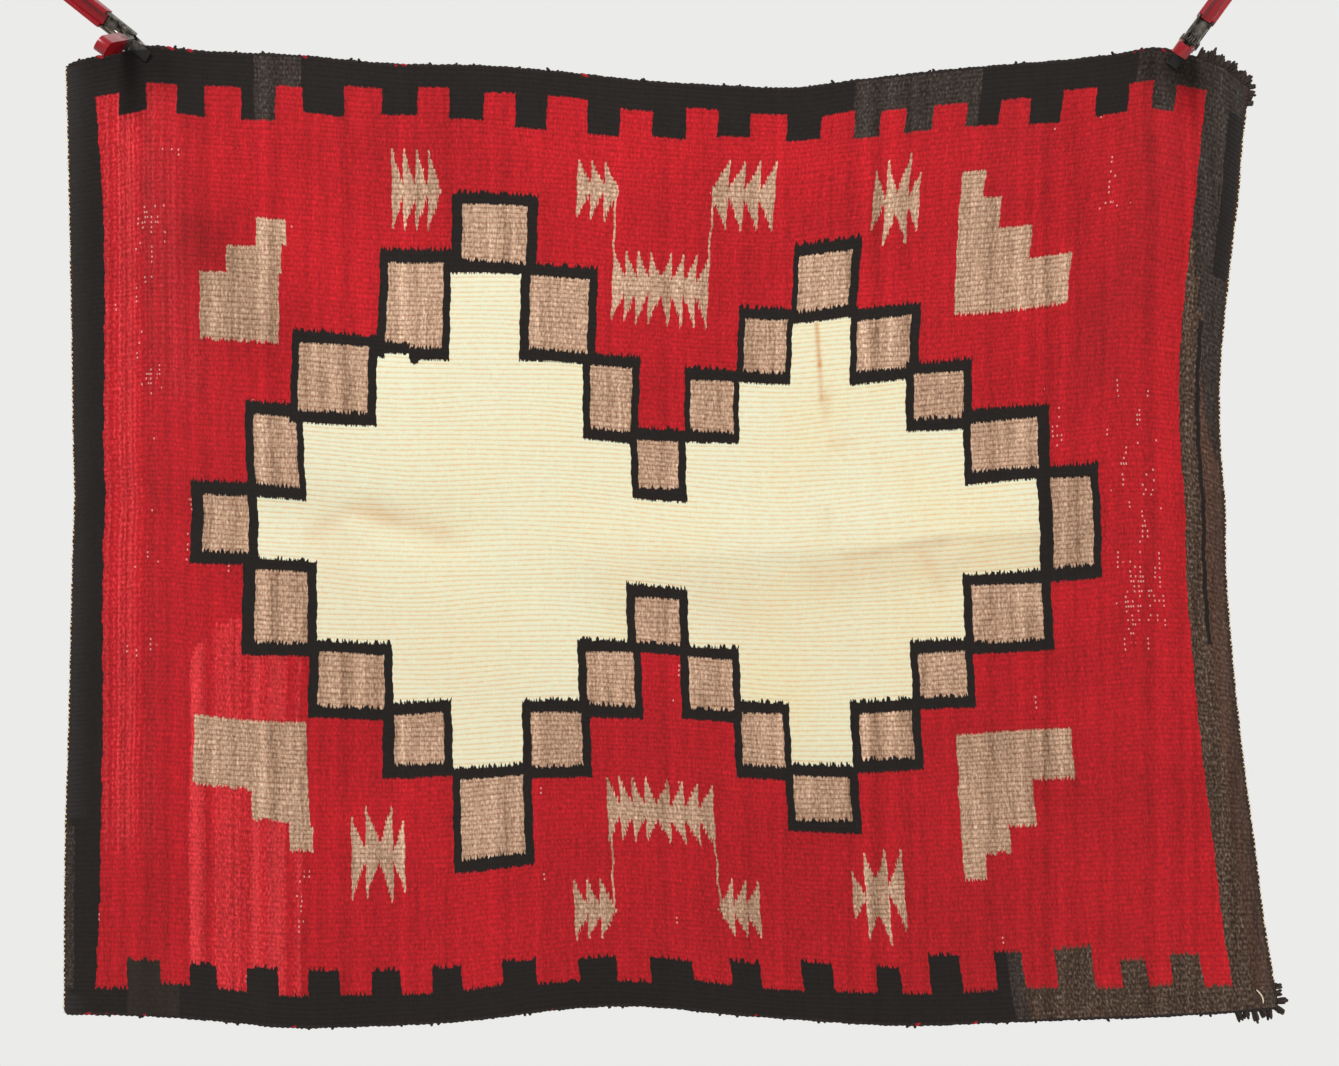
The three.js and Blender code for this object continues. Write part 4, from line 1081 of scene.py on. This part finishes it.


# Pressed steel: plating and grime, with soft wide highlights, and black at the jaws for dark tips and
# painted shade.
def pressedSteel():
    material, tree, surface = startMaterial("pressed steel", {})
    objectAt = addNode(tree, "TexCoord").outputs["Object"]
    grimeScale = 1 / (steelLook["grime"] * mm)
    grime = addNode(tree, "TexNoise", {"Vector": objectAt, "Scale": grimeScale, "Detail": 5})
    grimeShare = addNode(tree, "MapRange", {0: grime, 1: 0.3, 2: 0.66})
    colour = addNode(tree, "MixRGB", {
        0: grimeShare, 1: linear(steelLook["plate"]), 2: linear(steelLook["dirt"]),
    })
    rough = addNode(tree, "MapRange", {0: grimeShare, 3: 0.32, 4: 0.6})
    # Black below a height at the jaws: dark tips with painted shade.
    height = addNode(tree, "SeparateXYZ", {0: objectAt}).outputs["Z"]
    low, high = steelLook["jawShadeTop"]
    plateShare = addNode(tree, "MapRange", {0: height, 1: low * mm, 2: high * mm})
    colour = addNode(tree, "MixRGB", {0: plateShare, 1: linear(steelLook["jawBlackAndShade"]), 2: colour})
    rough = addNode(tree, "MixRGB", {0: plateShare, 1: (0.9, 0.9, 0.9, 1), 2: rough})
    tree.links.new(colour.outputs[0], surface.inputs["Base Color"])
    tree.links.new(rough.outputs[0], surface.inputs["Roughness"])
    tree.links.new(plateShare.outputs[0], surface.inputs["Metallic"])
    return material


vinylLook = {"skin": "#8a0a18", "scuff": 16.667}


# Dipped vinyl: glossy red skin with rounded edges that carry a bright rim.
def dippedVinyl():
    material, tree, surface = startMaterial("dipped vinyl", {
        "Base Color": linear(vinylLook["skin"]), "Specular IOR Level": 0.35, "Coat Weight": 0.2,
        "Coat Roughness": 0.15,
    })
    objectAt = addNode(tree, "TexCoord").outputs["Object"]
    scuffScale = 1 / (vinylLook["scuff"] * mm)
    scuff = addNode(tree, "TexNoise", {"Vector": objectAt, "Scale": scuffScale, "Detail": 2})
    rough = addNode(tree, "MapRange", {0: scuff, 1: 0.35, 2: 0.75, 3: 0.24, 4: 0.36})
    tree.links.new(rough.outputs[0], surface.inputs["Roughness"])
    return material


steel = pressedSteel()
vinyl = dippedVinyl()


weldReach = 0.00002
flatAngle = math.radians(1)
bevelAngle = math.radians(35)
smoothAngle = math.radians(40)


# A softer copy of a clamp's node: its edges rounded as pressing or dipping leaves them.
def softened(nodeName, material, bevel):
    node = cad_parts[nodeName]
    bpy.ops.object.select_all(action="DESELECT")
    piece = bpy.data.objects.new(nodeName + "_shape", node.data.copy())
    bpy.context.scene.collection.objects.link(piece)
    piece.select_set(True)
    bpy.context.view_layer.objects.active = piece
    bpy.ops.object.mode_set(mode="EDIT")
    bpy.ops.mesh.select_all(action="SELECT")
    bpy.ops.mesh.remove_doubles(threshold=weldReach)
    bpy.ops.mesh.tris_convert_to_quads()
    bpy.ops.mesh.dissolve_limited(angle_limit=flatAngle)
    bpy.ops.object.mode_set(mode="OBJECT")
    rounding = piece.modifiers.new("rounding", "BEVEL")
    rounding.width = bevel["width"]
    rounding.segments = bevel["segments"]
    rounding.limit_method = "ANGLE"
    rounding.angle_limit = bevelAngle
    bpy.ops.object.modifier_apply(modifier="rounding")
    bpy.ops.object.shade_smooth_by_angle(angle=smoothAngle)
    piece.data.materials.clear()
    piece.data.materials.append(material)
    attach(piece, "root")
    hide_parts(nodeName)


leverEdge = {"width": 0.35 * mm, "segments": 2}
gripEdge = {"width": 0.42 * mm, "segments": 3}
for side in ("left", "right"):
    for lever in ("back", "front"):
        softened(f"{side}_clamp_{lever}_lever", steel, leverEdge)
        softened(f"{side}_clamp_{lever}_grip", vinyl, gripEdge)
    for bare in ("pin", "spring"):
        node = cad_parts[f"{side}_clamp_{bare}"]
        node.data.materials.clear()
        node.data.materials.append(steel)
print("clamps")

# Plain stage: a pale floor below, soft light, and the photo's straight-on view.
stage = {"floor": -1.25, "front": -2.6, "rear": 0.6, "half": 2.2}
bpy.ops.mesh.primitive_plane_add(size=1)
floor = bpy.context.object
floor.name = "floor"
floorPlace = Matrix.Translation((0, (stage["rear"] + stage["front"]) / 2, stage["floor"]))
floorSize = Matrix.Diagonal((2 * stage["half"], stage["rear"] - stage["front"], 1, 1))
floor.data.transform(floorPlace @ floorSize)
# Floor paint: flat and pale, without a highlight.
paint = startMaterial("pale floor paint", {"Base Color": linear("#e6e4e0"), "Roughness": 0.8})[0]
floor.data.materials.append(paint)

# The room is pale behind the rug and dimmer on the viewer's side.
world = bpy.data.worlds.new("studio")
bpy.context.scene.world = world
world.use_nodes = True
room = world.node_tree
roomAt = addNode(room, "TexCoord").outputs["Generated"]
roomWay = addNode(room, "SeparateXYZ", {0: roomAt})
behind = addNode(room, "MapRange", {0: roomWay.outputs["Y"], 1: -0.2, 2: 0.6})
roomColour = addNode(room, "MixRGB", {0: behind, 1: linear("#b9b8b6"), 2: linear("#ebebea")})
room.links.new(roomColour.outputs[0], room.nodes["Background"].inputs["Color"])
lamps = [
    {"name": "key", "at": (-0.7, -2.5, 1.7), "aim": (0, 0, -0.45), "size": 1.0, "power": 75},
    {"name": "fill", "at": (1.6, -2.4, -0.2), "aim": (0.1, 0, -0.5), "size": 1.5, "power": 16},
]
for lamp in lamps:
    light = bpy.data.lights.new(lamp["name"], "AREA")
    light.size = lamp["size"]
    light.energy = lamp["power"]
    holder = bpy.data.objects.new(lamp["name"], light)
    holder.location = lamp["at"]
    way = Vector(lamp["aim"]) - holder.location
    holder.rotation_euler = way.to_track_quat("-Z", "Y").to_euler()
    bpy.context.scene.collection.objects.link(holder)

view = {"distance": 1.65, "height": -0.486, "pictureWide": 1.339, "sensor": 36}
camera = bpy.data.cameras.new("photo view")
camera.sensor_width = view["sensor"]
camera.lens = view["sensor"] * view["distance"] / view["pictureWide"]
camera.dof.use_dof = False
cameraHolder = bpy.data.objects.new("photo view", camera)
cameraHolder.location = (0, -view["distance"], view["height"])
cameraHolder.rotation_euler = (math.pi / 2, 0, 0)
bpy.context.scene.collection.objects.link(cameraHolder)
bpy.context.scene.camera = cameraHolder
bpy.context.scene.view_settings.view_transform = "Standard"

print("stage and camera")
